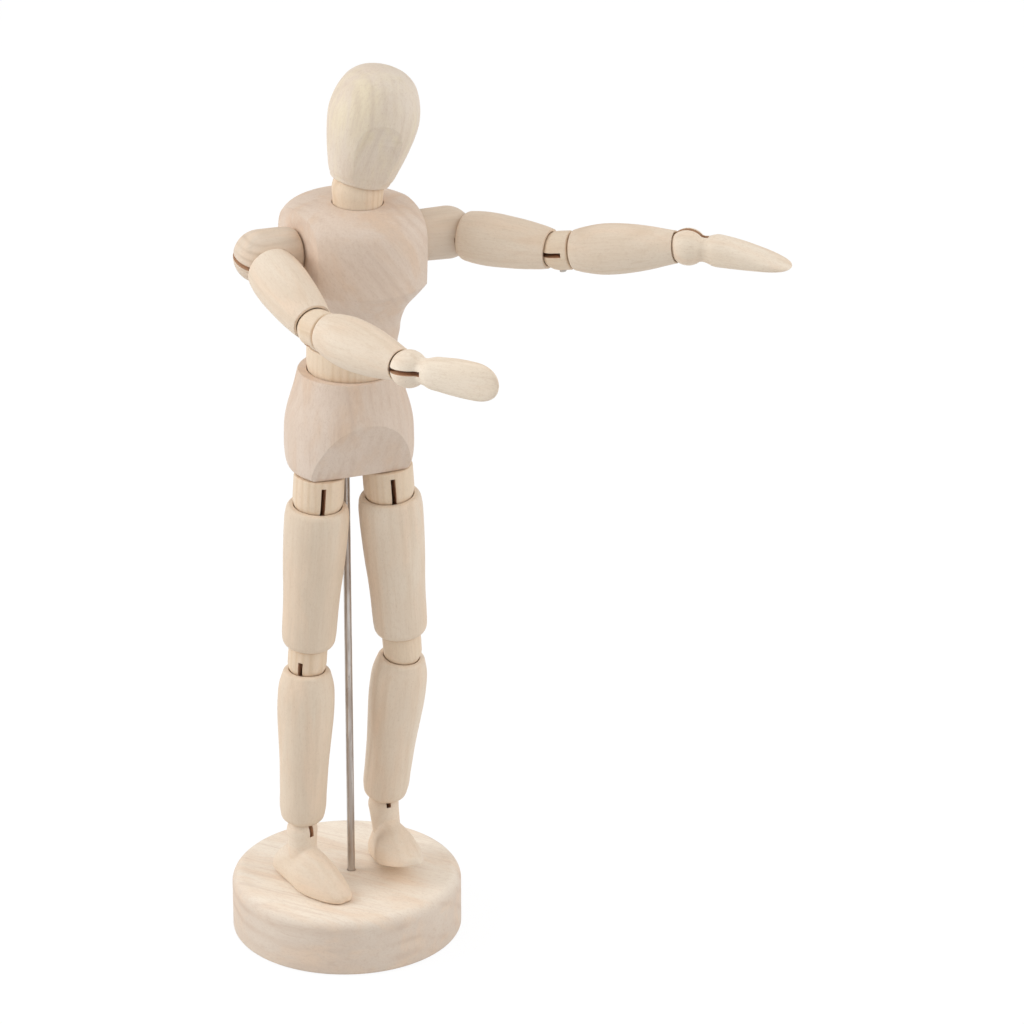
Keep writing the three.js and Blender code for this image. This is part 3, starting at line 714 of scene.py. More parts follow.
# fits that several pieces share, in millimetres
fit = {
    "cup": 0.35,
    "gap": 0.3,
    "slotWidth": 1.5,
    "pin": 1.1,
    "pinPlay": 0.15,
    "pinCover": 1.6,
    "pinFlush": 0.3,
    "pinBevel": 0.18,
    "saw": 20.6,
    "wire": 0.3,
    "wireOffset": 0.44,
    "hookReach": 12.0,
    "coilGap": 1.5,
    "coilRadius": 1.9,
    "coilPitch": 1.6,
    "bore": 2.7,
    "shankHole": 1.1,
}

# the end of its X axis that each pin is driven in from; the other end of its hole is blind
pinsFrom = {
    "left": {"shoulder": 1, "elbow": -1, "wrist": 1, "hip": -1, "knee": 1, "ankle": -1},
    "right": {"shoulder": -1, "elbow": -1, "wrist": 1, "hip": -1, "knee": 1, "ankle": -1},
}


def sawCut(ball, way):
    # the kerf that a round saw leaves: deepest in the middle
    half, blade = fit["slotWidth"] / 2, ball.get("saw", fit["saw"])
    kerf = turned([(0, -half), (blade, -half), (blade, half), (0, half)], "kerf", "sawn")
    return moved(kerf, shift(0, 0, way * (blade - ball["beyond"])) @ spin(90, "Y"))


def crossBar(radius, start, end, way, kind="hole", finish="sawn", bevel=0.0):
    profile = [(0, start), (radius - bevel, start)]
    if bevel:
        profile += [(radius, start + bevel), (radius, end - bevel)]
    profile += [(radius - bevel, end), (0, end)]
    return moved(turned(profile, kind, finish), spin(90 * way, "Y"))


def drill(radius, start, end, finish="sawn"):
    return turned([(0, start), (radius, start), (radius, end), (0, end)], "hole", finish)


def limbPlace(side, at, along, across):
    # a limb piece's own frame, from three joints of its side
    return placed(pivot(f"{side}_{at}"), axis(f"{side}_{along}"), axis(f"{side}_{across}"))


def limbPiece(side, node, mesh, place, body, slotName="limb_wood", **more):
    # the piece is named as its node is
    title = side + "".join(word.capitalize() for word in node.split("_"))
    finished(title, mesh, place, f"{side}_{body}", f"{side}_{node}", slotName, **more)


def pinHole(side, joint, ball):
    start, end = fit["pinCover"] - ball["radius"], 2 * ball["radius"]
    return crossBar(fit["pin"] + fit["pinPlay"], start, end, pinsFrom[side][joint])


def pinIn(side, joint, ball, place, body, proud=-fit["pinFlush"]):
    start = fit["pinCover"] + fit["pinPlay"] - ball["radius"]
    end = ball["radius"] + proud
    mesh = crossBar(fit["pin"], start, end, pinsFrom[side][joint], "pin", "pin_steel", fit["pinBevel"])
    limbPiece(side, joint + "_pin", mesh, place, body, "pin_steel")


def hookPath(pivotHeight, way, offset):
    # a ring of wire round a pin, which leads to a point on the limb's line
    radius = fit["pin"] + fit["pinPlay"] + fit["wire"]
    angles = [math.radians(a) for a in range(20, 301, 14)]
    path = [(offset, radius * math.sin(a), pivotHeight + way * radius * math.cos(a)) for a in angles]
    return path + [(offset, 0, pivotHeight + way * 2 * radius)]


def looseHook(way=1):
    return hookPath(0, way, 0) + [(0, 0, way * fit["hookReach"])]


def coilPath(start, end, steps=20):
    count = steps * max(1, round(abs(end - start) / fit["coilPitch"]))
    radius = fit["coilRadius"]
    path = []
    for i in range(count + 1):
        a = 2 * math.pi * i / steps
        path.append((radius * math.cos(a), radius * math.sin(a), start + (end - start) * i / count))
    return path


def wirePiece(side, node, path, place, body):
    values = {"Radius": fit["wire"], "Sides": sidesOf["wire"], "Finish": finishes["spring_steel"]}
    limbPiece(side, node, grown(path, wireAlong, values), place, body, "spring_steel")


# stand
stand = {
    "diameter": 76.0,
    "height": 19.6,
    "topRound": 3.7,
    "footRound": 0.9,
    "rod": 2.5,
    "rodAt": (1.2, -1.2),
    "rodInBase": 12.0,
    "rodInPelvis": 10.0,
    "rodBevel": 0.2,
    "grainTurn": 24.0,
    "grainDip": 24.0,
}


def makeStand():
    r, top, foot, height = stand["diameter"] / 2, stand["topRound"], stand["footRound"], stand["height"]
    x, y = stand["rodAt"]
    profile = [(0, 0)] + [(r - foot + a, foot + b) for a, b in arc(0, foot, -90, 0, 6)]
    profile += [(r - top + a, height - top + b) for a, b in arc(0, top, 0, 90, 12)] + [(0, height)]
    half = stand["rod"] / 2
    low, high = height - stand["rodInBase"], pivot("pelvis_on_rod").z / mm + stand["rodInPelvis"]
    hole = moved(drill(half + fit["pinPlay"], low - fit["gap"], height + 1), shift(x, y, 0))
    disc = cut(turned(profile, "disc", "base_wood"), hole)
    # a disc is cut from a plank, so its grain lies level and dips a little across it
    lie = spin(stand["grainDip"], "X", 3) @ (spin(90, "Y", 3) @ spin(stand["grainTurn"], "Z", 3))
    # painted light from above: the top and its rounded rim are painted lighter than the turned side
    paintedTopLight = disc.attributes.new("paintedTopLightAt", "FLOAT", "POINT")
    for corner in disc.vertices:
        paintedTopLight.data[corner.index].value = max(0.0, 1 + (corner.co.z - height) / top) ** 2
    finished("baseDisc", disc, Matrix.Scale(mm, 4), "stand", "base_disc", "base_wood", grain=lie)
    end = stand["rodBevel"]
    rod = [(0, low), (half - end, low), (half, low + end)]
    rod += [(half, high - end), (half - end, high), (0, high)]
    place = shift(x * mm, y * mm, 0) @ Matrix.Scale(mm, 4)
    finished("supportRod", turned(rod, "thin", "rod_steel"), place, "stand", "support_rod", "rod_steel")


makeStand()
print("stand done")

# balls: the radius, the flat end, its rounding and the end of the slot, measured from the pivot
waistBall = {
    "radius": 14.5,
    "flat": 5.0,
    "edge": 0.3,
    "tenon": 6.0,
    "tenonLength": 6.0,
    "hollow": [(0, -15.5), (9, -15.5), (2.9, 2.6), (0, 2.6)],
}
neckBall = {
    "radius": 8.2,
    "post": 7.9,
    "narrowAt": 3.0,
    "swell": 0.02,
    "bottom": -7.0,
    "hollow": [(0, -2), (2.9, -2), (6, 9.2), (0, 9.2)],
}
shoulderBall = {
    "radius": 8.45,
    "flat": 12.3,
    "tenon": 3.4,
    "tenonLength": 7.0,
    "beyond": 2.3,
    "stem": [(6.4, 0), (7.2, 0.5), (7.8, 1.6), (8.15, 3.2), (8.31, 6.3)],
    "scoopFrom": 6.1,
    "scoopMargin": 0.02,
}
elbowBall = {"radius": 6.2, "flat": 3.9, "edge": 0.6, "beyond": 3.0}
wristBall = {"radius": 5.9, "beyond": 6.6}
hipBall = {"radius": 8.2, "flat": 7.5, "edge": 0.65, "tenon": 3.4, "tenonLength": 7.5, "beyond": 5.5}
kneeBall = {"radius": 6.35, "flat": 6.1, "edge": 0.65, "beyond": 3.2}
ankleBall = {"radius": 5.1, "beyond": 2.1, "saw": 12.0, "stem": [(-0.1, 0), (-0.5, 9)]}

# trunk
pelvis = {
    "height": 33.5,
    "forward": 3.6,
    "waistHeight": 36.5,
    "waistAside": 1.3,
    "hipSpacing": 24.0,
    "hipForward": 3.8,
    "hipDrop": 7.8,
    "hipSplay": 3.9,
    "facetAtBottom": 10.4,
    "facetMeetsSide": 20.5,
    "facetSideRadius": 19.7,
    "bottomRadius": 17.6,
    "rimRadius": 15.95,
    "outline": [
        (18.3, 0.06), (19.5, 0.8), (20.3, 2.8), (20.7, 5.5), (20.8, 11), (20.5, 16.5),
        (19.7, 20.5), (18.7, 24), (17.6, 27.6), (16.25, 33.0),
    ],
}
chest = {
    "bottom": 5.3,
    "bottomRadius": 13.9,
    "top": 53.7,
    "sideFlat": 19.1,
    "sideFlatTurn": 2.0,
    "shoulderHeight": 38.5,
    "neckForward": 3.0,
    "neckDepth": 3.0,
    "grainSlant": 38.0,
    "waistOutline": [
        (14.35, 5.5), (14.6, 7.6), (15.1, 10.3), (15.3, 13), (16, 15.8),
        (17.1, 18.6), (18.9, 21.3), (21.2, 24), (23.2, 26.5), (24.45, 28.2),
    ],
    "drumOutline": [
        (24.58, 28.6), (24.62, 32), (24.65, 37), (24.6, 41), (24.3, 44.4), (23.4, 47.4),
        (21.6, 49.8), (18.4, 51.7), (14, 52.9), (8, 53.6), (0, 53.7),
    ],
}
head = {
    "seat": 2.5,
    "length": 37.8,
    "hollow": 5.8,
    "hollowTop": 13.0,
    "rimOutline": [(8.6, 0), (9.4, 0.4), (9.75, 1.4)],
    "outline": [
        (10.3, -35.4), (11.4, -31.9), (12.5, -27.9), (13.4, -23.9), (14.1, -19.8), (14.4, -15.9),
        (13.95, -12.1), (12.75, -8.1), (10.6, -4.2), (7.8, -1.85), (4.2, -0.5), (0, 0),
    ],
    "face": [(-14.3, -15.6), (-12.6, -19.4), (-11.2, -24.4), (-10.1, -30), (-9.0, -35.4), (-8.5, -39.4)],
}


def tenonOf(ball):
    end = -ball["flat"] - ball["tenonLength"]
    return [(0, end), (ball["tenon"], end), (ball["tenon"], -ball["flat"])]


def makePelvis():
    place = shift(*pivot("pelvis_on_rod")) @ Matrix.Scale(mm, 4) @ shift(0, -pelvis["forward"], 0)
    height = pelvis["height"]
    profile = [(0, 0), (pelvis["bottomRadius"], 0)] + flowing(pelvis["outline"])
    profile += [(pelvis["rimRadius"], height), (0, height)]
    block = turned(profile, "block", "body_wood")
    cupRadius = waistBall["radius"] + fit["cup"]
    hollow = turned(arc(pelvis["waistHeight"], cupRadius, -90, 90, 40), "round", "body_wood")
    hollow = moved(hollow, shift(pelvis["waistAside"], 0, 0))
    low = pelvis["facetAtBottom"]
    slope = (pelvis["facetSideRadius"] - low) / pelvis["facetMeetsSide"]
    # what cuts a sloped facet reaches past the block on all sides
    under, over, away = 2, 30, 40
    sloped = [(-low + slope * under, -under), (-away, -under), (-away, over), (-low - slope * over, over)]
    seatTop = hipBall["flat"] + fit["gap"]
    tools = [hollow] + [moved(prism(sloped, away, "body_wood"), spin(turn, "Z")) for turn in (0, 180)]
    for s in (-1, 1):
        seat = drill(hipBall["radius"] + fit["gap"], 0, seatTop, "body_wood")
        socket = drill(hipBall["tenon"] + fit["gap"], seatTop - 1, seatTop + hipBall["tenonLength"])
        lean = shift(s * pelvis["hipSpacing"] / 2, -pelvis["hipForward"], -pelvis["hipDrop"])
        lean = lean @ spin(-s * pelvis["hipSplay"], "Y")
        tools += [moved(seat, lean), moved(socket, lean)]
    hole = drill(stand["rod"] / 2 + fit["pinPlay"], -1, stand["rodInPelvis"] + fit["gap"])
    tools.append(moved(hole, shift(0, pelvis["forward"], 0)))
    finished("pelvisBlock", cut(block, *tools), place, "pelvis", "pelvis_block", "body_wood")


def makeWaist():
    place = placed(pivot("chest_turn"), axis("chest_turn"), axis("waist_bend"))
    b = waistBall
    edge = rounded((b["radius"], b["flat"]), (b["radius"], 0), (b["tenon"], b["flat"]), b["edge"])
    top = b["flat"] + b["tenonLength"]
    profile = arc(0, b["radius"], -90, 0, 32) + edge + [(b["tenon"], b["flat"]), (b["tenon"], top), (0, top)]
    ball = cut(turned(profile, "round", "joint_wood"), turned(b["hollow"], "small"))
    finished("waistBall", ball, place, "waist", "waist_ball", "joint_wood")


def makeChest():
    left, right = pivot("left_shoulder_turn"), pivot("right_shoulder_turn")
    place = placed(pivot("chest_turn"), axis("chest_turn"), left - right)
    socket = waistBall["tenon"] + fit["gap"]
    socketTop = waistBall["flat"] + waistBall["tenonLength"] + fit["gap"]
    profile = [(socket, chest["bottom"]), (chest["bottomRadius"], chest["bottom"])]
    profile += flowing(chest["waistOutline"]) + flowing(chest["drumOutline"])
    profile += [(0, socketTop), (socket, socketTop)]
    # what cuts a side flat reaches past the drum on all sides
    thick, tall = 30, 80
    tenonDepth = shoulderBall["tenonLength"] + 2 * fit["gap"]
    tools = []
    for s in (-1, 1):
        flatPlace = shift(s * chest["sideFlat"], 0, 0) @ spin(-s * chest["sideFlatTurn"], "Z")
        tools.append(moved(box(thick, tall, tall, s * thick / 2, 0, thick, "body_wood"), flatPlace))
        hole = moved(drill(shoulderBall["tenon"] + fit["gap"], -tenonDepth, 2), spin(s * 90, "Y"))
        tools.append(moved(hole, flatPlace @ shift(0, 0, chest["shoulderHeight"])))
    neckBottom = chest["top"] - chest["neckDepth"]
    neckHole = drill(neckBall["post"] + fit["gap"], neckBottom, chest["top"] + 5, "body_wood")
    tools.append(moved(neckHole, shift(0, -chest["neckForward"], 0)))
    block = cut(turned(profile, "block", "body_wood"), *tools)
    slanting = spin(chest["grainSlant"], "Y", 3)
    finished("chestBlock", block, place, "chest", "chest_block", "body_wood", grain=slanting)


def makeNeck():
    place = placed(pivot("neck_turn"), axis("neck_turn"), axis("head_tilt").cross(axis("neck_turn")))
    b = neckBall
    swelling = flowing([(b["post"], -b["narrowAt"]), (b["radius"] - b["swell"], -1), (b["radius"], 0)], 3)
    profile = [(0, b["bottom"]), (b["post"], b["bottom"])] + swelling[:-1] + arc(0, b["radius"], 0, 90, 24)
    post = cut(turned(profile, "round", "joint_wood"), turned(b["hollow"], "thin"))
    finished("neckPost", post, place, "neck", "neck_post", "joint_wood")


def makeHead():
    across = axis("head_nod")
    place = placed(pivot("head_nod"), across.cross(axis("head_tilt")), across)
    seat = head["seat"]
    crown = seat + head["length"]
    cup = neckBall["radius"] + fit["cup"]
    profile = arc(0, cup, atHeight(seat, cup), atWidth(head["hollow"], cup), 8)[::-1]
    rim = [(r, seat + z) for r, z in head["rimOutline"]]
    profile += flowing(rim + [(r, crown + z) for r, z in head["outline"]])
    profile += [(0, head["hollowTop"]), (head["hollow"], head["hollowTop"])]
    # what cuts the face reaches past the head in front, below and at the sides
    away, below, aside = -30, -40, 20
    face = flowing([(y, crown + z) for y, z in head["face"]])
    face += [(away, crown + below), (away, crown + head["face"][0][1])]
    block = cut(turned(profile, "block", "head_wood"), prism(face, aside, "head_wood"))
    finished("headBlock", block, place, "head", "head_block", "body_wood", sharpAngle=30)


makePelvis()
makeWaist()
makeChest()
makeNeck()
makeHead()
print("trunk and head done")

# limbs: lengths from pivot to pivot, and the outline of each turned piece as radius and height;
# a section of the hand is its height, half width, low and high side
arm = {
    "upperLength": 39.7,
    "upperRims": (6.37, 3.5),
    "upperCoilEnd": 9.0,
    "upper": [
        (7.1, 6.45), (7.65, 7.2), (8.1, 9.2), (8.4, 12), (8.5, 17),
        (8.2, 22), (7.8, 27), (7.3, 31), (6.8, 34.3), (6.35, 36.2),
    ],
    "foreLength": 42.5,
    "foreRim": 4.0,
    "foreCoilStart": 7.0,
    "fore": [
        (5.3, 4.2), (6.2, 4.75), (6.75, 6.3), (7.4, 9.4), (8, 14),
        (8, 19), (7.5, 25), (6.6, 31), (5.6, 36), (5.15, 38.5),
    ],
    "hand": [
        (5.1, 4.05, -4.1, 4.1),
        (6, 4.1, -4.2, 4.2),
        (8.5, 4.8, -4.9, 4.9),
        (12, 5.2, -4.9, 4.6),
        (17, 5.7, -4.6, 3.6),
        (22, 5.9, -4.2, 2.2),
        (26, 5.8, -3.8, 0.9),
        (29, 5.1, -3.4, -0.2),
        (31.2, 3.8, -3, -1),
        (32.4, 2.2, -2.6, -1.5),
        (32.9, 0.6, -2.3, -1.9),
    ],
    "palmFrom": 5.0,
    "palmBlend": 4.0,
    "palmSquare": 0.4,
    "handBend": {"left": 12.0, "right": -16.0},
    "elbowPinProud": {"left": 0.7, "right": -fit["pinFlush"]},
}


def squircle(halfWidth, low, high, height, power, count=48):
    ring = []
    for i in range(count):
        a = 2 * math.pi * i / count
        c, s = math.cos(a), math.sin(a)
        across = math.copysign(abs(c) ** (2 / power), c)
        through = math.copysign(abs(s) ** (2 / power), s)
        ring.append((halfWidth * across, (low + high) / 2 + (high - low) / 2 * through, height))
    return ring


def flowingSections(sections, steps=4):
    # smooth sections between the listed ones
    table = np.array(sections, float)
    made = [flowing(list(zip(table[:, 0], column)), steps) for column in table.T[1:]]
    heights = [q[0] for q in made[0]]
    return list(zip(heights, *([q[1] for q in line] for line in made)))


def cupFor(ball, rim, way, centre=0.0):
    # the hollow that a ball sits in, from its rim to the bore
    radius = ball["radius"] + fit["cup"]
    start, end = atHeight(rim, radius), atWidth(fit["bore"], radius)
    points = arc(centre, radius, way * start, way * end, 14)
    return points if way < 0 else points[::-1]


def makeShoulderBall(side):
    place = limbPlace(side, "shoulder_turn", "shoulder_turn", "shoulder_swing")
    b = shoulderBall
    stem = flowing([(y, z - b["flat"]) for y, z in b["stem"]], 4)
    profile = tenonOf(b) + stem + arc(0, b["radius"], 0, 90, 24)
    tools = [sawCut(b, 1), pinHole(side, "shoulder", b)]
    if side == "right":
        # the stem is scooped out where this arm lies against it; the ball itself stays whole
        swing = axis("right_shoulder_turn").angle(axis("right_upper_arm_twist"))
        outline = [(r + fit["cup"], z) for r, z in arm["upper"]]
        rim = [(0, b["scoopFrom"]), (outline[0][0], b["scoopFrom"])]
        scoop = turned(rim + outline + [(0, outline[-1][1])], "limb", "shoulder_wood")
        moved(scoop, spin(math.degrees(swing), "X"))
        kept = turned(arc(0, b["radius"] + b["scoopMargin"], -90, 90, 48), "limb", "shoulder_wood")
        tools.append(cut(scoop, kept))
    ball = cut(turned(profile, "limb", "shoulder_wood"), *tools)
    limbPiece(side, "shoulder_ball", ball, place, "shoulder", "joint_wood")
    pinIn(side, "shoulder", b, place, "shoulder")
    hookPlace = limbPlace(side, "shoulder_swing", "upper_arm_twist", "shoulder_swing")
    wirePiece(side, "shoulder_hook", looseHook(), hookPlace, "upper_arm")


def makeUpperArm(side):
    place = limbPlace(side, "upper_arm_twist", "upper_arm_twist", "shoulder_swing")
    far = arm["upperLength"]
    near, end = arm["upperRims"]
    profile = cupFor(shoulderBall, near, 1) + flowing(arm["upper"]) + cupFor(elbowBall, end, -1, far)
    limbPiece(side, "upper_arm", turned(profile, "limb"), place, "elbow_link")
    path = coilPath(fit["hookReach"] + fit["coilGap"], far - arm["upperCoilEnd"])
    path += hookPath(far, -1, -fit["wireOffset"])[::-1]
    wirePlace = limbPlace(side, "upper_arm_twist", "upper_arm_twist", "elbow_bend")
    wirePiece(side, "upper_arm_spring", path, wirePlace, "elbow_link")


def makeElbow(side):
    place = limbPlace(side, "elbow_bend", "forearm_turn", "elbow_bend")
    b = elbowBall
    edge = rounded((b["radius"], b["flat"]), (b["radius"], 0), (0, b["flat"]), b["edge"])
    profile = arc(0, b["radius"], -90, 0, 24) + edge + [(0, b["flat"])]
    shank = drill(fit["shankHole"], 0, b["flat"] + 1)
    ball = cut(turned(profile, "limb", "joint_wood"), sawCut(b, -1), pinHole(side, "elbow", b), shank)
    limbPiece(side, "elbow_ball", ball, place, "elbow", "joint_wood")
    pinIn(side, "elbow", b, place, "elbow", arm["elbowPinProud"][side])
    coilEnd = arm["foreLength"] - fit["hookReach"] - fit["coilGap"]
    path = hookPath(0, 1, fit["wireOffset"]) + coilPath(arm["foreCoilStart"], coilEnd)
    wirePiece(side, "forearm_spring", path, place, "elbow")


def makeForearm(side):
    place = limbPlace(side, "elbow_bend", "forearm_turn", "elbow_bend")
    profile = [(fit["bore"], elbowBall["flat"] + fit["gap"])] + flowing(arm["fore"])
    profile += cupFor(wristBall, arm["foreRim"], -1, arm["foreLength"])
    limbPiece(side, "forearm", turned(profile, "limb"), place, "forearm")


def makeHand(side):
    place = bentPlace(side, "wrist", arm["handBend"][side])
    b = wristBall
    rings = [squircle(r, -r, r, z, 2.0) for r, z in arc(0, b["radius"], -88, 44, 24)]
    for z, halfWidth, low, high in flowingSections(arm["hand"]):
        palm = min(1, (z - arm["palmFrom"]) / arm["palmBlend"])
        rings.append(squircle(halfWidth, low, high, z, 2.0 + arm["palmSquare"] * palm))
    # the hand wears the lighter copy of the limb wood, as painted light
    hand = cut(lofted(rings, "hand_lit_wood"), sawCut(b, -1), pinHole(side, "wrist", b))
    limbPiece(side, "hand", hand, place, "hand", sharpAngle=50)
    pinIn(side, "wrist", b, place, "hand")
    hookPlace = limbPlace(side, "wrist_twist", "wrist_twist", "wrist_bend")
    wirePiece(side, "wrist_hook", looseHook(-1), hookPlace, "wrist")


# a section of the foot is how far forward it lies, its half width, and its top and sole below the ankle
leg = {
    # the right leg wears the darker copy of the limb wood, as painted shade
    "wood": {"left": "limb_wood", "right": "right_leg_shaded_wood"},
    "thighLength": 60.3,
    "thighRim": 3.0,
    "thighCoilEnd": 8.0,
    "thigh": [
        (8.5, 3.05), (9.2, 3.2), (9.8, 3.9), (10.25, 5.9), (10.4, 11), (10.22, 18), (9.8, 27),
        (9.3, 34), (9, 41), (8.9, 47), (8.75, 50.5), (8.5, 52.2), (7.8, 53.4), (6.6, 53.9),
    ],
    "shinLength": 61.2,
    "shinRims": (2.9, 3.5),
    "shinCoilStart": 10.0,
    "shin": [
        (7.0, 2.95), (7.5, 3.3), (8.1, 4.9), (8.9, 8), (9.3, 14), (9.2, 20),
        (8.8, 26), (8.1, 36), (7.7, 47), (7.4, 53.9), (6.75, 56.4), (5.55, 57.6),
    ],
    "foot": [
        (-12.4, 2.4, 13.6, 16.6),
        (-12, 3.1, 12.4, 17.1),
        (-9.5, 3.9, 9.8, 17.7),
        (-6, 4.5, 6.8, 18.2),
        (-2, 5.1, 4.8, 18.5),
        (2, 6.0, 4.6, 18.6),
        (5, 6.8, 5.3, 18.6),
        (8, 7.1, 6.7, 18.6),
        (12, 6.8, 9.1, 18.6),
        (16, 5.9, 11.7, 18.6),
        (19.5, 4.6, 13.9, 18.6),
        (21.8, 2.9, 15.4, 18.5),
        (22.6, 1.8, 16.1, 18.3),
    ],
    "footEdge": 1.2,
    "footBend": {"left": 27.0, "right": 1.6},
    "footVoxel": 0.36,
    "footSanding": 5,
}


def flatEnd(ball):
    # the flat end above a ball of the leg, rounded at its edge, and the ball below it
    edge = rounded((ball["radius"], -ball["flat"]), (0, -ball["flat"]), (ball["radius"], 0), ball["edge"])
    return edge + arc(0, ball["radius"], 0, 90, 24)


def makeHip(side):
    place = limbPlace(side, "hip_turn", "hip_turn", "hip_swing")
    b = hipBall
    r, beyond = b["radius"], b["beyond"]
    slot = box(fit["slotWidth"], 4 * r, beyond + 2 * r, 0, 0, r - beyond / 2)
    ball = cut(turned(tenonOf(b) + flatEnd(b), "limb", "joint_wood"), slot, pinHole(side, "hip", b))
    limbPiece(side, "hip_ball", ball, place, "hip", "joint_wood")
    pinIn(side, "hip", b, place, "hip")
    hookPlace = limbPlace(side, "hip_swing", "thigh_twist", "hip_swing")
    wirePiece(side, "hip_hook", looseHook(), hookPlace, "thigh_link")


def makeThigh(side):
    place = limbPlace(side, "thigh_twist", "thigh_twist", "hip_swing")
    end = leg["thighLength"] - kneeBall["flat"] - fit["gap"]
    profile = cupFor(hipBall, leg["thighRim"], 1) + flowing(leg["thigh"]) + [(fit["bore"], end)]
    limbPiece(side, "thigh", turned(profile, "limb", leg["wood"][side]), place, "thigh")


def makeKnee(side):
    place = limbPlace(side, "knee_turn", "knee_turn", "knee_bend")
    b = kneeBall
    shank = drill(fit["shankHole"], -b["flat"] - 1, 0)
    ball = turned([(0, -b["flat"])] + flatEnd(b), "limb", "joint_wood")
    ball = cut(ball, sawCut(b, 1), pinHole(side, "knee", b), shank)
    limbPiece(side, "knee_ball", ball, place, "knee", "joint_wood")
    pinIn(side, "knee", b, place, "knee")
    path = coilPath(fit["hookReach"] + fit["coilGap"] - leg["thighLength"], -leg["thighCoilEnd"])
    path += hookPath(0, -1, fit["wireOffset"])[::-1]
    wirePiece(side, "thigh_spring", path, place, "knee")


def makeShin(side):
    place = limbPlace(side, "knee_bend", "ankle_twist", "ankle_bend")
    near, end = leg["shinRims"]
    far = leg["shinLength"]
    profile = cupFor(kneeBall, near, 1) + flowing(leg["shin"]) + cupFor(ankleBall, end, -1, far)
    limbPiece(side, "shin", turned(profile, "limb", leg["wood"][side]), place, "shin")
    coilEnd = far - fit["hookReach"] - fit["coilGap"]
    path = hookPath(0, 1, -fit["wireOffset"]) + coilPath(leg["shinCoilStart"], coilEnd)
    wirePlace = limbPlace(side, "knee_bend", "ankle_twist", "knee_bend")
    wirePiece(side, "shin_spring", path, wirePlace, "shin")


def domed(halfWidth, top, sole, forward, count=32):
    # a section across the foot: flat below, a short upright edge and a dome above
    edge = sole - min(leg["footEdge"], (sole - top) / 2)
    ring = []
    for i in range(count + 1):
        a = math.pi * i / count
        ring.append((halfWidth * math.cos(a), -forward, edge - (edge - top) * math.sin(a)))
    return ring + [(-halfWidth, -forward, sole), (0, -forward, sole), (halfWidth, -forward, sole)]


def makeFoot(side):
    place = bentPlace(side, "ankle", leg["footBend"][side])
    b = ankleBall
    ball = turned(arc(0, b["radius"], -90, 90, 36), "small")
    stem = [(b["radius"] + r, z) for r, z in b["stem"]]
    stem = turned([(0, 0), *stem, (0, stem[-1][1])], "small")
    rings = [domed(*across, forward) for forward, *across in flowingSections(leg["foot"], 3)]
    foot = softened(fused(ball, stem, lofted(rings, "limb_wood")), leg["footVoxel"], leg["footSanding"])
    foot = cut(foot, sawCut(b, -1), pinHole(side, "ankle", b))
    # a foot is carved with its grain from heel to toe
    limbPiece(side, "foot", foot, place, "foot", grain=spin(90, "X", 3), sharpAngle=50)
    pinIn(side, "ankle", b, place, "foot")
    hookPlace = limbPlace(side, "ankle_twist", "ankle_twist", "ankle_bend")
    wirePiece(side, "ankle_hook", looseHook(-1), hookPlace, "ankle")


makersInOrder = (
    makeShoulderBall, makeUpperArm, makeElbow, makeForearm, makeHand,
    makeHip, makeThigh, makeKnee, makeShin, makeFoot,
)
for side in ("left", "right"):
    for make in makersInOrder:
        make(side)
print("limbs done")

# CAD nodes that stay: the springs inside the waist, the neck and the chest, which get the wire finish
for name, node in frame["nodes"].items():
    if node.hide_render:
        continue
    values = np.zeros(len(node.data.vertices) * 3, np.float32)
    node.data.vertices.foreach_get("co", values)
    attribute = node.data.attributes.new("grainAt", "FLOAT_VECTOR", "POINT")
    attribute.data.foreach_set("vector", values / mm)
    node.data.materials.clear()
    node.data.materials.append(finishes["spring_steel"])

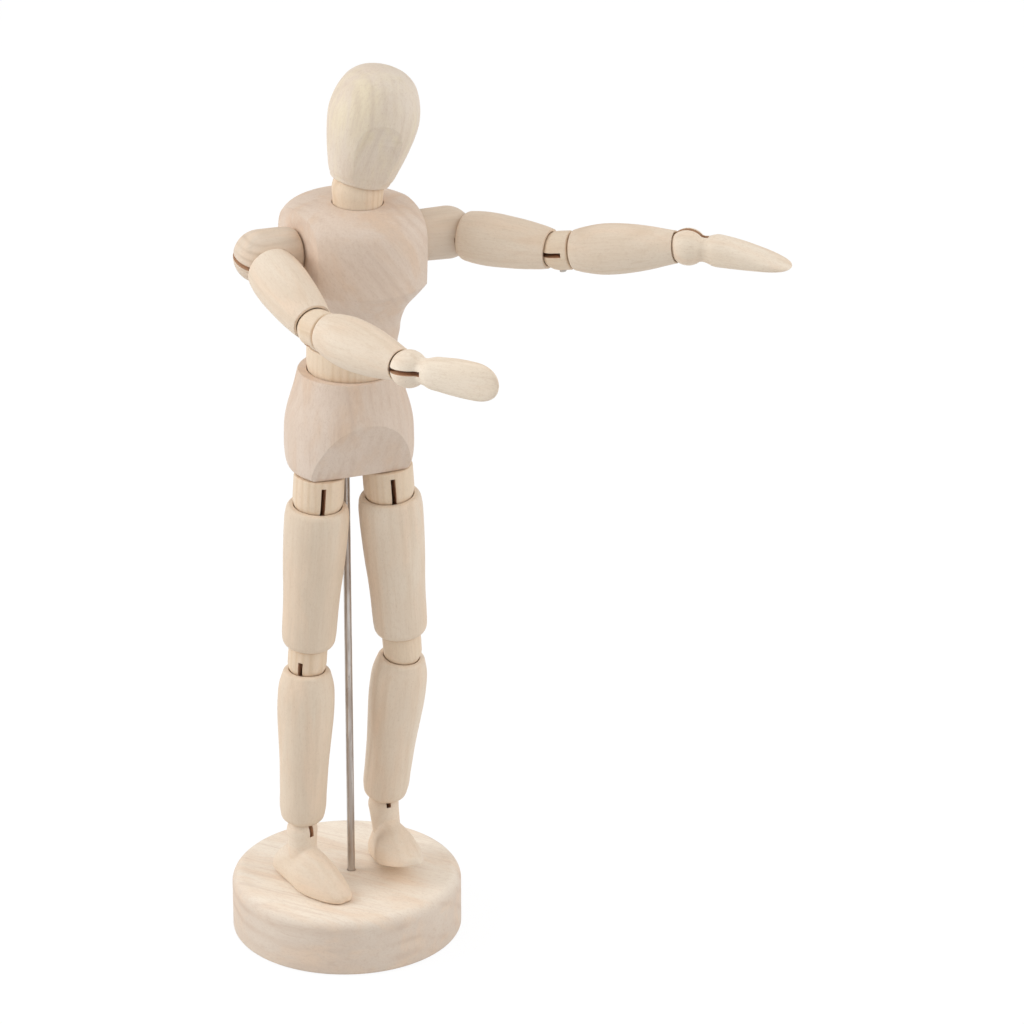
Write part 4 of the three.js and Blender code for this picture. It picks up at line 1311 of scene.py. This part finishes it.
# light: a broad lamp on each side, the one at the figure's right the stronger, and an even white surround
studio = {
    "surround": 0.62,
    "low": 0.8,
    "rise": 0.42,
    "key": {"at": (-0.95, 0.22, 0.72), "size": 0.8, "power": 6.2},
    "fill": {"at": (1.24, -0.69, 0.9), "size": 1.2, "power": 8.0},
    "aim": (0.0, 0.0, 0.15),
    "paper": 0.74,
    "white": 1.07,
    "whiteShare": 0.86,
    "floorHalf": 6.0,
    "floorDrop": 0.0003,
}


def lamp(name, values):
    data = bpy.data.lights.new(name, "AREA")
    data.size = values["size"]
    data.energy = values["power"]
    made = inScene(name, data)
    made.location = values["at"]
    aim = Vector(studio["aim"]) - made.location
    made.rotation_euler = aim.to_track_quat("-Z", "Y").to_euler()


def seenDirectly(m, second):
    # 1 where a ray comes from the camera or is of the second kind
    rays = m.node("ShaderNodeLightPath")
    return rays.math("MAXIMUM", rays.out("Is Camera Ray"), rays.out(second))


def makeStudio():
    world = bpy.data.worlds.new("surround")
    scene.world = world
    world.use_nodes = True
    world.node_tree.nodes.clear()
    m = Maker(world.node_tree)
    seen = seenDirectly(m, "Is Transmission Ray")
    # the surround grows brighter towards the top
    where = m.node("ShaderNodeTexCoord", out="Generated")
    height = m.node("ShaderNodeSeparateXYZ", {}, {0: where}, out="Z").clamped()
    lit = (height * studio["rise"] + studio["low"]) * studio["surround"]
    strength = seen + (1.0 - seen) * lit
    sky = m.node("ShaderNodeBackground", {}, {"Color": (1, 1, 1, 1), "Strength": strength})
    m.node("ShaderNodeOutputWorld", {}, {"Surface": sky})
    lamp("key", studio["key"])
    lamp("fill", studio["fill"])
    half = studio["floorHalf"]
    mesh = bpy.data.meshes.new("floor")
    z = -studio["floorDrop"]
    corners = [(-half, -half, z), (half, -half, z), (half, half, z), (-half, half, z)]
    mesh.from_pydata(corners, [], [(0, 1, 2, 3)])
    floor = inScene("floor", mesh)
    material, m = startMaterial("white sweep")
    seen = seenDirectly(m, "Is Glossy Ray")
    paper = m.node("ShaderNodeBsdfDiffuse", {}, {"Color": (*[studio["paper"]] * 3, 1)})
    white = m.node("ShaderNodeEmission", {}, {"Color": (1, 1, 1, 1), "Strength": studio["white"]})
    mixed = m.node("ShaderNodeMixShader", {}, {0: seen * studio["whiteShare"], 1: paper, 2: white})
    m.node("ShaderNodeOutputMaterial", {}, {"Surface": mixed})
    mesh.materials.append(material)


makeStudio()
scene.view_settings.view_transform = "Standard"
print("studio done")
